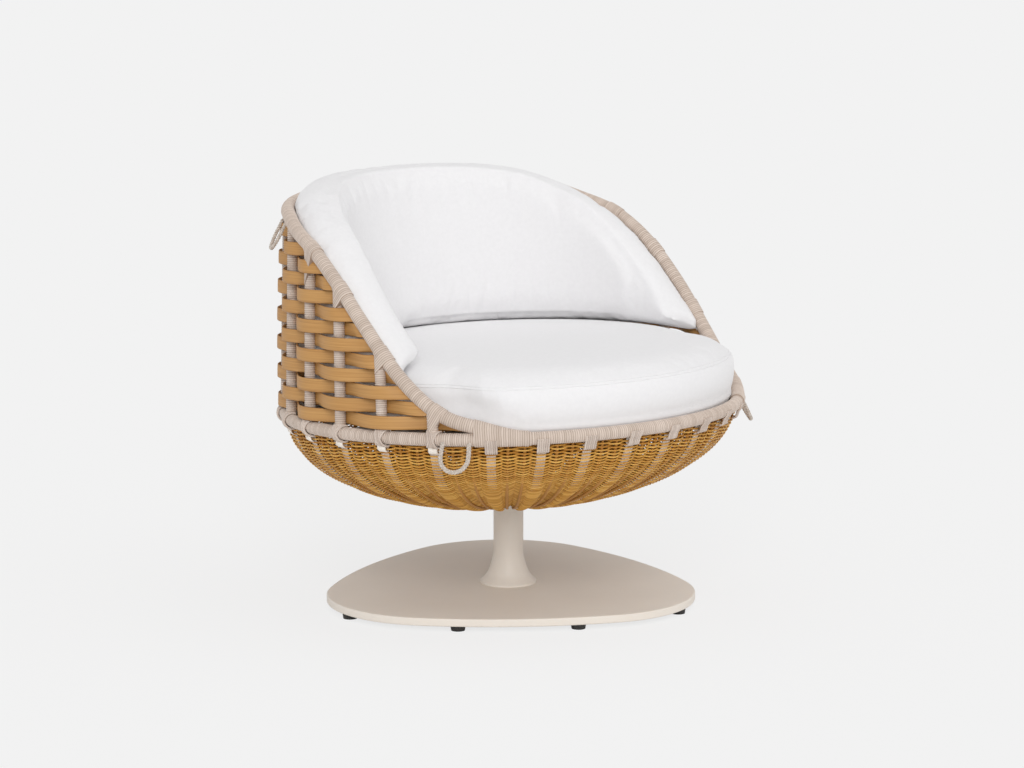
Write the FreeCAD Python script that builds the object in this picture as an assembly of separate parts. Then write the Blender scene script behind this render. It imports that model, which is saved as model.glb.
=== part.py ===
import FreeCAD, Part
import math
import os

# Swivel lounge chair with a woven bowl seat, in millimetres.
# The origin is on the swivel axis at floor level, +Z is up and the seat faces -Y.

Vector = FreeCAD.Vector
X_AXIS = Vector(1, 0, 0)
Z_AXIS = Vector(0, 0, 1)

# Seat frame: a round waist ring, a rim that rises behind it, and upright poles between them
frame_radius = 466.0
waist_height = 405.0
seat_forward = 10.0
wall_draw_in_share = 0.11
wall_lean_back_share = 0.14
waist_tube_radius = 13.0
rim_tube_radius = 14.0
rim_rise = 425.0
rim_angles = [38, 50, 60, 70, 80, 90, 100, 110, 125, 180]
rim_rise_shares = [0.0, 0.05, 0.114, 0.272, 0.491, 0.686, 0.818, 0.888, 0.964, 1.0]
pole_radius = 11.0
stake_angles = [0, 11.9, 23.6, 35.2, 47.6, 61.9, 75.8, 89.5, 103.0, 116.8, 129.8, 142.5, 155.1, 167.6, 180]
first_pole_bay = 5
seat_rake = 2.66
wrap_sides = 12
rim_steps_per_bay = 3
fit_gap = 0.3

# Straps woven between the poles, one level row above another
strap_width = 27.0
strap_thickness = 3.0
strap_spacing = 2.0
strap_over_ring = 3.0
strap_bend_radius = 16.0
strap_end_gap = 1.8

# Woven bowl below the waist ring: it swells over each flat rib and over the two round stakes between
bowl_depth = 210.0
bowl_power = 2.1
bowl_wall = 6.0
bowl_valley = 5.0
bowl_valley_bay_shares = [0.22, 0.5, 0.78]
bowl_stake_bay_shares = [1 / 3, 2 / 3]
bowl_hole_radius = 75.0
bowl_level_shares = [0.0, 0.129, 0.267, 0.421, 0.596, 0.792, 1.0]
rib_width = 19.0
rib_thickness = 4.0
rib_gap = 1.5
rib_end_radius = 95.0

# Webbing that carries the seat cushion
webbing_width = 50.0
webbing_thickness = 2.0
webbing_pitch = 96.0
webbing_strips = 7

# Seat cushion
seat_over_ring = 10.0
seat_side_gap = 18.0
seat_front_angle = 36.0
seat_side_angle = 50.0
seat_angle_spread = 14.0
seat_cushion_height = 138.0
seat_level_shares = [0.0, 0.04, 0.12, 0.25, 0.4, 0.55, 0.68, 0.78, 0.86, 0.92, 0.96, 0.985, 1.0]
seat_radius_shares = [0.6, 0.86, 0.945, 0.985, 1.0, 1.0, 0.99, 0.965, 0.915, 0.83, 0.7, 0.52, 0.25]
seat_widest_level = 5
seat_outline_points = 72

# Back cushion, one wrap-round piece with wings that thin out towards the front
wing_tip_angle = 69.0
back_stations_per_side = 16
back_foot_thickness = 150.0
back_head_thickness = 100.0
wing_thickness = 76.0
back_over_rim = 28.0
over_rim_angles = [69, 90, 105, 120, 140, 180]
over_rim_shares = [0.93, 0.6, 0.5, 0.57, 0.86, 1.0]
back_head_rise = 20.0
back_bulge = 7.0
back_corner_radius = 12.0
back_foot_steps = 6
cushion_gap = 3.0
cushion_side_gap = 6.0

# Rope loops, two on the waist ring and two on the rim
rope_diameter = 7.5
front_loop_angle = 55.9
rear_loop_angle = 123.3
loop_lean = 27.0
loop_root = (10.0, -4.0)
loop_bend_share = 0.45
loop_route = [
    (-26.0, 0.0),
    (-28.5, 22.0),
    (-27.0, 44.0),
    (-11.5, 60.0),
    (11.5, 60.0),
    (27.0, 44.0),
    (28.5, 22.0),
    (26.0, 0.0),
]

# Base plate, a rounded triangle
plate_thickness = 16.5
plate_corner_distance = 174.5
plate_corner_radius = 229.0
plate_side_radius = 865.0
plate_edge_radius = 3.0
base_turn = 51.0

# Glides under the plate
glide_height = 10.0
glide_radius = 15.5
glide_taper = 1.5
glide_inset = 17.0
glide_side_turn = 21.4
glide_screw_radius = 2.5
glide_screw_head_radius = 5.5
glide_screw_head_height = 3.5
glide_screw_recess = 2.0
glide_screw_length = 18.0

# Column with a trumpet foot, and the swivel inside it
column_radius = 31.0
column_wall = 3.0
column_foot_radius = 58.5
column_foot_edge = 4.0
column_flare_height = 78.0
flare_height_shares = [0.24, 0.55]
flare_radius_shares = [0.50, 0.17]
column_screw_circle = 40.0
column_screw_radius = 3.0
column_screw_head_radius = 5.0
column_screw_head_height = 6.0
column_screw_depth = 15.0
column_screw_count = 4
column_screw_turn = 45.0
spindle_radius = 14.0
spindle_over_plate = 33.6447
running_clearance = 0.05
bush_length_share = 0.3
bush_flange = 3.0
clip_radius = 20.0
clip_thickness = 2.0
clip_groove = 1.5
clip_gap_angle = 40.0
swivel_plate_radius = 60.0
swivel_plate_thickness = 8.0
wedge_set_in = 2.0
wedge_height = 7.0
hub_radius = 112.0
hub_thickness = 8.0
hub_hole_radius = 16.0
hub_screw_circle = 42.0
hub_screw_radius = 4.0
hub_screw_head_radius = 7.0
hub_screw_head_height = 5.0
hub_screw_count = 4
hub_screw_turn = 45.0

# Sizes that follow from the ones above
plate_bottom = glide_height
plate_top = plate_bottom + plate_thickness
column_bore_radius = column_radius - column_wall
wedge_radius = swivel_plate_radius - wedge_set_in
bowl_radius = frame_radius
rib_depth = bowl_depth - bowl_valley - bowl_wall - rib_gap - rib_thickness / 2
rib_radius = bowl_radius - bowl_valley - bowl_wall - rib_gap - rib_thickness / 2
rib_set_in = frame_radius - rib_radius - rib_thickness / 2
rib_top_drop = math.sqrt(max((waist_tube_radius + fit_gap) ** 2 - rib_set_in**2, 0))
strap_pitch = strap_width + strap_spacing
first_strap_height = waist_tube_radius + strap_over_ring + strap_width / 2
seat_front_radius = frame_radius + seat_over_ring
seat_back_radius = frame_radius - pole_radius - strap_thickness - seat_side_gap
last_pole_bay = len(stake_angles) - 1
bay_count = 2 * last_pole_bay
bay_angle = 360.0 / bay_count
back_outer_radius = frame_radius - pole_radius - strap_thickness - cushion_side_gap


def rake(shape):
    """Tip a shape drawn level about the centre of the waist ring, and move it there."""
    turned = shape.copy()
    turned.rotate(Vector(0, 0, 0), X_AXIS, -seat_rake)
    turned.translate(Vector(0, -seat_forward, waist_height))
    return turned


def rake_lift(forward):
    """Extra height of the raked waist ring at a distance in front of its centre."""
    return forward * math.tan(math.radians(seat_rake))


def polar(radius, angle, height):
    """A point at an angle from the seat's front, positive towards +X."""
    turn = math.radians(angle)
    return Vector(radius * math.sin(turn), -radius * math.cos(turn), height)


def pole_angle(place):
    """Angle of a rib or pole counted from the front, or of a place part of the way to the next."""
    turn = place % bay_count
    mirrored = min(turn, bay_count - turn)
    first = min(int(mirrored), last_pole_bay - 1)
    step = stake_angles[first + 1] - stake_angles[first]
    angle = stake_angles[first] + step * (mirrored - first)
    return angle if turn <= last_pole_bay else 360 - angle


def eased_share(angle, stops, shares):
    """Smooth curve through shares given at stops, the same on both sides of the seat."""
    turn = min(max(abs(angle), stops[0]), stops[-1])
    last = len(stops) - 1
    step = min(sum(1 for stop in stops[1:] if turn >= stop), last - 1)

    def slope(index):
        if index in (0, last):
            return 0.0
        return (shares[index + 1] - shares[index - 1]) / (stops[index + 1] - stops[index - 1])

    span = stops[step + 1] - stops[step]
    part = (turn - stops[step]) / span
    return (
        shares[step] * (1 + 2 * part) * (1 - part) ** 2
        + shares[step + 1] * part**2 * (3 - 2 * part)
        + slope(step) * span * part * (1 - part) ** 2
        - slope(step + 1) * span * part**2 * (1 - part)
    )


def rim_height(angle):
    """Height of the rim's centreline above the waist ring."""
    return rim_rise * eased_share(angle, rim_angles, rim_rise_shares)


def waist_point(angle):
    """Centre of the waist tube at an angle from the front."""
    flat = polar(frame_radius, angle, 0)
    return flat + Vector(0, -seat_forward, waist_height + rake_lift(-flat.y))


def wall_shift(angle, height):
    """How far the wall has drawn in and leaned back at a height above the waist ring."""
    return polar(-wall_draw_in_share * height, angle, 0) + Vector(0, wall_lean_back_share * height, 0)


def rim_point(angle):
    """Centre of the rim tube; an angle past 180 comes back down the other side."""
    turn = angle if angle <= 180 else 360 - angle
    height = rim_height(turn)
    return waist_point(angle) + Z_AXIS * height + wall_shift(angle, height)


def prism_wire(centre, across, up, radius, sides):
    """A regular outline round a centre, in the plane of two unit vectors."""
    corners = []
    for side in range(sides):
        turn = 2 * math.pi * (side + 0.5) / sides
        corners.append(centre + across * (radius * math.cos(turn)) + up * (radius * math.sin(turn)))
    return Part.makePolygon(corners + corners[:1])


def arc(start, middle, end):
    return Part.Arc(start, middle, end).toShape()


def cylinder(radius, height, base):
    return Part.makeCylinder(radius, height, base, Z_AXIS)


def ring_of(shape, count, first=0.0):
    """Copies of a shape at equal turns about the swivel axis."""
    copies = []
    for index in range(count):
        item = shape.copy()
        item.rotate(Vector(0, 0, 0), Z_AXIS, first + 360.0 * index / count)
        copies.append(item)
    return copies


# Base


def plate_outline(height):
    """Three corner arcs joined by three tangent side arcs."""
    reach = plate_side_radius - plate_corner_radius
    side_centre = (
        -plate_corner_distance + math.sqrt(4 * reach**2 - 3 * plate_corner_distance**2)
    ) / 2
    half_side = math.atan2(
        plate_corner_distance * math.sin(math.radians(60)),
        side_centre + plate_corner_distance * math.cos(math.radians(60)),
    )
    edges = []
    for corner in range(3):
        corner_turn = math.radians(base_turn + 120 * corner)
        side_turn = corner_turn + math.radians(60)

        def on_side(offset):
            return Vector(
                -side_centre * math.cos(side_turn) + plate_side_radius * math.cos(side_turn + offset),
                -side_centre * math.sin(side_turn) + plate_side_radius * math.sin(side_turn + offset),
                height,
            )

        def on_corner(offset):
            return Vector(
                plate_corner_distance * math.cos(corner_turn)
                + plate_corner_radius * math.cos(corner_turn + offset),
                plate_corner_distance * math.sin(corner_turn)
                + plate_corner_radius * math.sin(corner_turn + offset),
                height,
            )

        half_corner = math.radians(60) - half_side
        edges.append(arc(on_corner(-half_corner), on_corner(0), on_corner(half_corner)))
        edges.append(arc(on_side(-half_side), on_side(0), on_side(half_side)))
    return Part.Wire(edges), side_centre


def glide_places():
    """Three glides at the corners and two along each side, set in from the edge."""
    side_centre = plate_outline(plate_bottom)[1]
    turn = math.radians(glide_side_turn)
    side_reach = (
        math.sqrt(plate_side_radius**2 - (side_centre * math.sin(turn)) ** 2)
        - side_centre * math.cos(turn)
        - glide_inset
    )
    corner_reach = plate_corner_distance + plate_corner_radius - glide_inset
    places = []
    for corner in range(3):
        places.append((corner_reach, base_turn + 120 * corner))
        for side in (-glide_side_turn, glide_side_turn):
            places.append((side_reach, base_turn + 60 + side + 120 * corner))
    spots = []
    for radius, angle in places:
        turn = math.radians(angle)
        spots.append(Vector(radius * math.cos(turn), radius * math.sin(turn), 0))
    return spots


def make_base_plate():
    outline = plate_outline(plate_bottom)[0]
    plate = Part.Face(outline).extrude(Vector(0, 0, plate_thickness))
    rim_edges = [e for e in plate.Edges if abs(e.BoundBox.ZLength) < fit_gap]
    plate = plate.makeFillet(plate_edge_radius, rim_edges)
    for spot in glide_places():
        plate = plate.cut(cylinder(glide_screw_radius, glide_screw_length, spot))
    for screw in column_screw_shapes():
        plate = plate.cut(screw)
    return plate


def make_glides():
    """Turned plastic feet with a countersunk hole for their screw."""
    glides = []
    for spot in glide_places():
        foot = Part.makeCone(glide_radius - glide_taper, glide_radius, glide_height, spot, Z_AXIS)
        recess = glide_screw_recess + glide_screw_head_height
        foot = foot.cut(cylinder(glide_screw_head_radius, recess, spot))
        foot = foot.cut(cylinder(glide_screw_radius, glide_height, spot))
        glides.append(foot)
    return Part.makeCompound(glides)


def make_glide_screws():
    screws = []
    for spot in glide_places():
        head_base = spot + Vector(0, 0, glide_screw_recess)
        head = cylinder(glide_screw_head_radius, glide_screw_head_height, head_base)
        shank = cylinder(glide_screw_radius, glide_screw_length - glide_screw_recess, head_base)
        screws.append(head.fuse(shank))
    return Part.makeCompound(screws)


def column_screw_shapes():
    """Socket screws driven up through the plate into the column's foot."""
    head_base = Vector(column_screw_circle, 0, plate_bottom)
    head = cylinder(column_screw_head_radius, column_screw_head_height, head_base)
    length = plate_thickness + column_screw_depth
    shank = cylinder(column_screw_radius, length, head_base)
    return ring_of(head.fuse(shank), column_screw_count, column_screw_turn)


def make_column():
    """Tube that flares into a trumpet foot, bored through for the swivel."""
    spread = column_foot_radius - column_radius
    foot_points = [Vector(column_foot_radius, 0, plate_top + column_foot_edge)]
    for height_share, radius_share in zip(flare_height_shares, flare_radius_shares):
        radius = column_radius + spread * radius_share
        foot_points.append(Vector(radius, 0, plate_top + column_flare_height * height_share))
    foot_points.append(Vector(column_radius, 0, plate_top + column_flare_height))
    flare = Part.BSplineCurve()
    flare.interpolate(
        foot_points,
        InitialTangent=Vector(-1, 0, 1),
        FinalTangent=Vector(0, 0, 1),
    )
    edges = [
        Part.makeLine(Vector(column_bore_radius, 0, plate_top), Vector(column_foot_radius, 0, plate_top)),
        Part.makeLine(Vector(column_foot_radius, 0, plate_top), foot_points[0]),
        flare.toShape(),
        Part.makeLine(foot_points[-1], Vector(column_radius, 0, column_top)),
        Part.makeLine(Vector(column_radius, 0, column_top), Vector(column_bore_radius, 0, column_top)),
        Part.makeLine(Vector(column_bore_radius, 0, column_top), Vector(column_bore_radius, 0, plate_top)),
    ]
    column = Part.Face(Part.Wire(edges)).revolve(Vector(0, 0, 0), Z_AXIS, 360)
    for screw in column_screw_shapes():
        column = column.cut(screw)
    return column


# Swivel


def bowl_curve(radius, depth, turn):
    """Radius and height of the bowl's rounded profile, level at its foot."""
    power = 2 / bowl_power
    return radius * math.cos(turn) ** power, -depth * math.sin(turn) ** power


def bowl_turn_at(radius, wanted):
    """Where the profile is at a wanted distance from the axis."""
    return math.acos((wanted / radius) ** (bowl_power / 2))


def bowl_stops(radius, depth, top_drop, end_radius):
    """Places on the profile from under the ring to the hole or hub, closer where it bends most."""
    first = math.asin((top_drop / depth) ** (bowl_power / 2))
    last = bowl_turn_at(radius, end_radius)
    return [first + (last - first) * share for share in bowl_level_shares]


def rib_height_at(wanted):
    """Height of a rib's middle line on its last straight run, which the hub lies on."""
    stops = bowl_stops(rib_radius, rib_depth, rib_top_drop, rib_end_radius)
    far_radius, far_height = bowl_curve(rib_radius, rib_depth, stops[-2])
    near_radius, near_height = bowl_curve(rib_radius, rib_depth, stops[-1])
    share = (wanted - near_radius) / (far_radius - near_radius)
    return near_height + (far_height - near_height) * share


hub_bottom = rib_height_at(hub_radius) + rib_thickness / 2 + fit_gap
hub_height = waist_height + hub_bottom / math.cos(math.radians(seat_rake)) - rake_lift(seat_forward)
foot_lean = rake_lift(1) - seat_forward / (hub_bottom * math.cos(math.radians(seat_rake)))
swivel_plate_top = hub_height - wedge_height
swivel_plate_bottom = swivel_plate_top - swivel_plate_thickness
column_top = swivel_plate_bottom - bush_flange - running_clearance
spindle_length = swivel_plate_top - plate_top - spindle_over_plate
bush_length = spindle_length * bush_length_share
bush_bottom = swivel_plate_top - spindle_length + clip_thickness + clip_groove + fit_gap


def foot_shift(height):
    """The raked bowl leans back towards its foot, so that the hub is centred on the swivel axis."""
    return Vector(0, -height * foot_lean, 0)


def make_upper_bush():
    """Flanged polymer bush that also carries the seat's weight."""
    sleeve = cylinder(column_bore_radius, bush_length, Vector(0, 0, column_top - bush_length))
    flange = cylinder(column_radius, bush_flange, Vector(0, 0, column_top))
    bore = cylinder(
        spindle_radius + running_clearance,
        bush_length + bush_flange,
        Vector(0, 0, column_top - bush_length),
    )
    return sleeve.fuse(flange).cut(bore)


def make_lower_bush():
    base = Vector(0, 0, bush_bottom)
    sleeve = cylinder(column_bore_radius, bush_length, base)
    return sleeve.cut(cylinder(spindle_radius + running_clearance, bush_length, base))


def make_spindle():
    """Steel shaft fixed in the swivel plate, grooved for its retaining clip."""
    foot = swivel_plate_top - spindle_length
    shaft = cylinder(spindle_radius, spindle_length, Vector(0, 0, foot))
    groove_base = Vector(0, 0, foot + clip_groove)
    groove = cylinder(spindle_radius, clip_thickness, groove_base)
    groove = groove.cut(cylinder(spindle_radius - clip_groove, clip_thickness, groove_base))
    return shaft.cut(groove)


def make_spindle_clip():
    """Open ring in the groove that keeps the spindle from lifting out."""
    base = Vector(0, 0, swivel_plate_top - spindle_length + clip_groove)
    ring = cylinder(clip_radius, clip_thickness, base)
    ring = ring.cut(cylinder(spindle_radius - clip_groove, clip_thickness, base))
    gap = Part.makeCylinder(clip_radius, clip_thickness, base, Z_AXIS, clip_gap_angle)
    return ring.cut(gap)


def hub_screw_shapes():
    """Screws square to the raked hub, through the wedge into the swivel plate."""
    length = hub_thickness + wedge_height + swivel_plate_thickness / 2
    top = hub_bottom + hub_thickness
    base = Vector(hub_screw_circle, 0, top - length)
    shank = cylinder(hub_screw_radius, length, base)
    head = cylinder(hub_screw_head_radius, hub_screw_head_height, Vector(hub_screw_circle, 0, top))
    screws = ring_of(shank.fuse(head), hub_screw_count, hub_screw_turn)
    for screw in screws:
        screw.translate(foot_shift(hub_bottom))
    return [rake(screw) for screw in screws]


def make_swivel_plate():
    base = Vector(0, 0, swivel_plate_bottom)
    plate = cylinder(swivel_plate_radius, swivel_plate_thickness, base)
    plate = plate.cut(cylinder(spindle_radius, swivel_plate_thickness, base))
    for screw in hub_screw_shapes():
        plate = plate.cut(screw)
    return plate


def make_rake_wedge():
    """Spacer with a level foot and a sloping top that tips the seat back."""
    tall = cylinder(wedge_radius, 2 * wedge_height, Vector(0, 0, swivel_plate_top))
    hub_centre = foot_shift(hub_bottom) + Vector(0, 0, hub_bottom)
    above = rake(cylinder(hub_radius, hub_thickness + wedge_height, hub_centre))
    wedge = tall.cut(above)
    wedge = wedge.cut(cylinder(hub_hole_radius, 2 * wedge_height, Vector(0, 0, swivel_plate_top)))
    for screw in hub_screw_shapes():
        wedge = wedge.cut(screw)
    return wedge


def make_frame_hub():
    """Round plate that the ribs' inner ends are fixed under."""
    base = foot_shift(hub_bottom) + Vector(0, 0, hub_bottom)
    hub = rake(
        cylinder(hub_radius, hub_thickness, base).cut(cylinder(hub_hole_radius, hub_thickness, base))
    )
    for screw in hub_screw_shapes():
        hub = hub.cut(screw)
    return hub


# Seat frame


def make_waist_ring():
    section = prism_wire(Vector(frame_radius, 0, 0), X_AXIS, Z_AXIS, waist_tube_radius, wrap_sides)
    return rake(Part.Face(section).revolve(Vector(0, 0, 0), Z_AXIS, 360))


def make_rim(waist_ring):
    """Tube that leaves the waist ring on one side, climbs round the back and comes down again."""
    step = bay_angle / rim_steps_per_bay
    count = int((360 - 2 * rim_angles[0]) / step)
    sections = []
    for index in range(count + 1):
        angle = rim_angles[0] + (360 - 2 * rim_angles[0]) * index / count
        ahead = rim_point(angle + step / 2) - rim_point(angle - step / 2)
        ahead.normalize()
        across = ahead.cross(Z_AXIS)
        across.normalize()
        up = across.cross(ahead)
        sections.append(prism_wire(rim_point(angle), across, up, rim_tube_radius, wrap_sides))
    return Part.makeLoft(sections, True, True).cut(waist_ring)


def make_pole(angle, waist_ring, rim):
    """Tube that leans with the wall, shaped at both ends to sit on the ring and under the rim."""
    top = rim_point(angle)
    bottom = waist_point(angle)
    out = polar(1, angle, 0)
    section = prism_wire(bottom, out, Z_AXIS.cross(out), pole_radius, wrap_sides)
    pole = Part.Face(section).extrude(top - bottom)
    pole = pole.cut(waist_ring).cut(rim)
    return max(pole.Solids, key=lambda solid: solid.Volume)


# Straps


def row_radius(row_height):
    """Radius of the wall's middle where a row crosses it."""
    return frame_radius - wall_draw_in_share * row_height


def strap_row_count():
    """As many rows as fit under the rim at the next-to-back poles."""
    top = rim_height(pole_angle(last_pole_bay - 2)) - rim_tube_radius - strap_end_gap - strap_width / 2
    return 1 + int((top - first_strap_height) / strap_pitch)


def strap_end_angle(row_height):
    """Where a row's upper edge meets the underside of the falling rim."""
    low, high = rim_angles[0], rim_angles[-1]
    step = 0.5
    for _ in range(30):
        middle = (low + high) / 2
        rise = rim_height(middle + step) - rim_height(middle - step)
        run = 2 * frame_radius * math.radians(step)
        slope = math.atan2(rise, run)
        free = rim_height(middle) - rim_tube_radius / math.cos(slope) - strap_end_gap
        if free > row_height + strap_width / 2:
            high = middle
        else:
            low = middle
    return high


def strap_start_angle(row_height):
    """A row that would end beside a pole starts just behind it instead."""
    end_angle = strap_end_angle(row_height)
    butt = math.degrees((pole_radius + 2 * fit_gap) / row_radius(row_height))
    for bay in range(first_pole_bay, last_pole_bay):
        if -butt < pole_angle(bay) - end_angle < bay_angle / 4:
            return pole_angle(bay) + butt
    return end_angle


def strap_radius(row_height, angle, outside):
    """Where a strap's corner passes a pole, so that its bend stays clear of the pole."""
    turn = math.radians(angle)
    tilt = math.radians(seat_rake)
    middle = row_radius(row_height)
    slant = wall_draw_in_share + (wall_lean_back_share - math.tan(tilt)) * math.cos(turn)
    lean = strap_width / 2 * abs(slant)
    draw_in = middle * (1 - math.cos(tilt)) * math.cos(turn) ** 2
    swing = pole_radius + fit_gap + strap_thickness / 2 + lean
    half_bay = math.radians(bay_angle / 2)
    slope = math.atan2(swing, middle * math.sin(half_bay))
    if outside:
        corner_cut = strap_bend_radius * (1 / math.cos(slope + half_bay) - 1)
        return middle + swing + corner_cut + draw_in
    corner_cut = strap_bend_radius * (1 / math.cos(slope - half_bay) - 1)
    return middle - swing - corner_cut + draw_in


def offset_outline(points, offset):
    """One side of a strap: straight runs and concentric bends round the poles."""
    edges = []
    last = None
    for index, point in enumerate(points):
        if index in (0, len(points) - 1):
            other = points[1] if index == 0 else points[-2]
            along = (other - point) if index == 0 else (point - other)
            along.normalize()
            side = Z_AXIS.cross(along)
            here = point + side * offset
            if last is not None:
                edges.append(Part.makeLine(last, here))
            last = here
            continue
        before = points[index - 1] - point
        after = points[index + 1] - point
        before.normalize()
        after.normalize()
        half = before.getAngle(after) / 2
        inward = before + after
        inward.normalize()
        centre = point + inward * (strap_bend_radius / math.sin(half))
        reach = strap_bend_radius / math.tan(half)
        turn_left = before.cross(after).z < 0
        scale = 1 - offset / strap_bend_radius if turn_left else 1 + offset / strap_bend_radius
        start = centre + (point + before * reach - centre) * scale
        end = centre + (point + after * reach - centre) * scale
        middle = centre - inward * (strap_bend_radius * scale)
        edges.append(Part.makeLine(last, start))
        edges.append(arc(start, middle, end))
        last = end
    return edges, last


def make_strap(row):
    """One strap row, outside one pole and inside the next, all the way round the back."""
    row_height = first_strap_height + strap_pitch * row
    end_angle = strap_start_angle(row_height)
    crossings = []
    for bay in range(first_pole_bay, last_pole_bay + 1):
        if pole_angle(bay) > end_angle:
            radius = strap_radius(row_height, pole_angle(bay), (bay + row) % 2 == 1)
            crossings.append((radius, pole_angle(bay)))
    first_radius, first_angle = crossings[0]
    near = 1 - min(2 * (first_angle - end_angle) / bay_angle, 1)
    middle = row_radius(row_height)
    right = [(middle + (first_radius - middle) * near, end_angle)] + crossings
    left = [(radius, 360 - angle) for radius, angle in reversed(right[:-1])]
    points = [polar(radius, angle, -strap_width / 2) for radius, angle in right + left]
    outer, outer_end = offset_outline(points, strap_thickness / 2)
    inner, inner_end = offset_outline(points, -strap_thickness / 2)
    caps = [
        Part.makeLine(outer[0].Vertexes[0].Point, inner[0].Vertexes[0].Point),
        Part.makeLine(outer_end, inner_end),
    ]
    outline = Part.Wire(Part.__sortEdges__(outer + inner + caps))
    strap = Part.Face(outline).extrude(Vector(0, 0, strap_width))
    strap = rake(strap)
    strap.translate(Vector(0, wall_lean_back_share * row_height, row_height))
    return strap


# Bowl


def bowl_wire(radius, depth, turn):
    """Level outline of the bowl: crests over the ribs and stakes, valleys between them."""
    ring_radius, height = bowl_curve(radius, depth, turn)
    half_rib = rib_width / 2 / frame_radius / math.radians(bay_angle)
    crest_shares = [-half_rib, half_rib] + bowl_stake_bay_shares
    stops = [(share, 0) for share in crest_shares]
    stops += [(share, bowl_valley) for share in bowl_valley_bay_shares]
    points = []
    for bay in range(bay_count):
        for share, drop in sorted(stops):
            points.append(polar(ring_radius - drop, pole_angle(bay + share), height) + foot_shift(height))
    return Part.makePolygon(points + points[:1])


def make_bowl():
    """Woven skin of the bowl, with a hole for the column at its foot."""
    top_drop = waist_tube_radius + fit_gap
    inner_radius = bowl_radius - bowl_wall
    inner_depth = bowl_depth - bowl_wall
    outer = bowl_stops(bowl_radius, bowl_depth, top_drop, bowl_hole_radius)
    inner = bowl_stops(inner_radius, inner_depth, top_drop, bowl_hole_radius)
    wires = [bowl_wire(bowl_radius, bowl_depth, turn) for turn in outer]
    wires += [bowl_wire(inner_radius, inner_depth, turn) for turn in reversed(inner)]
    loft = Part.makeLoft(wires, False, True, True)
    return rake(Part.Solid(Part.Shell(loft.Faces)))


def make_rib(angle, stops):
    """One flat rib, square across at every stop on its way down."""
    side = polar(1, angle + 90, 0)
    sections = []
    for turn in stops:
        step = math.radians(1)
        places = []
        for near in (max(turn - step, 0), turn, turn + step):
            radius, height = bowl_curve(rib_radius, rib_depth, near)
            places.append(polar(radius, angle, height) + foot_shift(height))
        outward = side.cross(places[2] - places[0])
        outward.normalize()
        half = side * (rib_width / 2)
        lift = outward * (rib_thickness / 2)
        centre = places[1]
        corners = [centre + half + lift, centre - half + lift, centre - half - lift, centre + half - lift]
        sections.append(Part.makePolygon(corners + corners[:1]))
    return rake(Part.makeLoft(sections, True, True))


def make_ribs():
    """Flat ribs from under the waist ring down to the hub, one per bay."""
    stops = bowl_stops(rib_radius, rib_depth, rib_top_drop, rib_end_radius)
    return Part.makeCompound([make_rib(pole_angle(bay), stops) for bay in range(bay_count)])


def make_webbing(lengthways):
    """Stretched strips across the waist ring; the lengthways ones lie on the others."""
    reach = frame_radius - rim_tube_radius - 2 * fit_gap
    disc = cylinder(reach, webbing_thickness, Vector(0, 0, 0 if lengthways else -webbing_thickness))
    strips = []
    for index in range(webbing_strips):
        place = (index - (webbing_strips - 1) / 2) * webbing_pitch
        corner = Vector(-reach, place - webbing_width / 2, disc.BoundBox.ZMin)
        strip = Part.makeBox(2 * reach, webbing_width, webbing_thickness, corner)
        if lengthways:
            strip.rotate(Vector(0, 0, 0), Z_AXIS, 90)
        strips.append(rake(strip.common(disc)))
    return Part.makeCompound(strips)


# Cushions


def seat_outline(level, level_share, radius_share):
    """Round at the back between the poles, fuller in front where it lies over the ring."""
    front_angle = seat_front_angle + seat_angle_spread * level_share
    side_angle = seat_side_angle + seat_angle_spread * level_share
    points = []
    for index in range(seat_outline_points):
        angle = 360.0 * index / seat_outline_points - 180.0
        part = (side_angle - abs(angle)) / (side_angle - front_angle)
        part = min(max(part, 0.0), 1.0)
        fullness = part**2 * (3 - 2 * part)
        radius = seat_back_radius + (seat_front_radius - seat_back_radius) * fullness
        points.append(polar(radius * radius_share, angle, level))
    return Part.makePolygon(points + points[:1])


def seat_level(share):
    base = webbing_thickness + fit_gap
    return base + (seat_cushion_height - base) * share


def make_seat_cushion():
    """Thick round cushion with drawn-in seams and a crowned top."""
    wires = []
    for level_share, radius_share in zip(seat_level_shares, seat_radius_shares):
        wires.append(seat_outline(seat_level(level_share), level_share, radius_share))
    return rake(Part.makeLoft(wires, True, True))


def seat_top_height(radius):
    """Height of the seat cushion's upper side at a distance from its middle."""
    levels = [seat_level(share) for share in seat_level_shares[seat_widest_level + 1:]]
    radii = [seat_back_radius * share for share in seat_radius_shares[seat_widest_level + 1:]]
    for index in range(len(radii) - 1):
        if radius >= radii[index + 1]:
            part = (radii[index] - radius) / (radii[index] - radii[index + 1])
            return levels[index] + (levels[index + 1] - levels[index]) * max(part, 0)
    return levels[-1]


def seat_top_at(radius, angle):
    """Height of the seat cushion's top at a place by the leaning wall, which the rake moves back."""
    height = 0.0
    for _ in range(4):
        place = polar(radius, angle, 0) + wall_shift(angle, height)
        back_shift = height * math.sin(math.radians(seat_rake))
        height = seat_top_height(math.hypot(place.x, place.y - back_shift))
    return height


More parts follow.
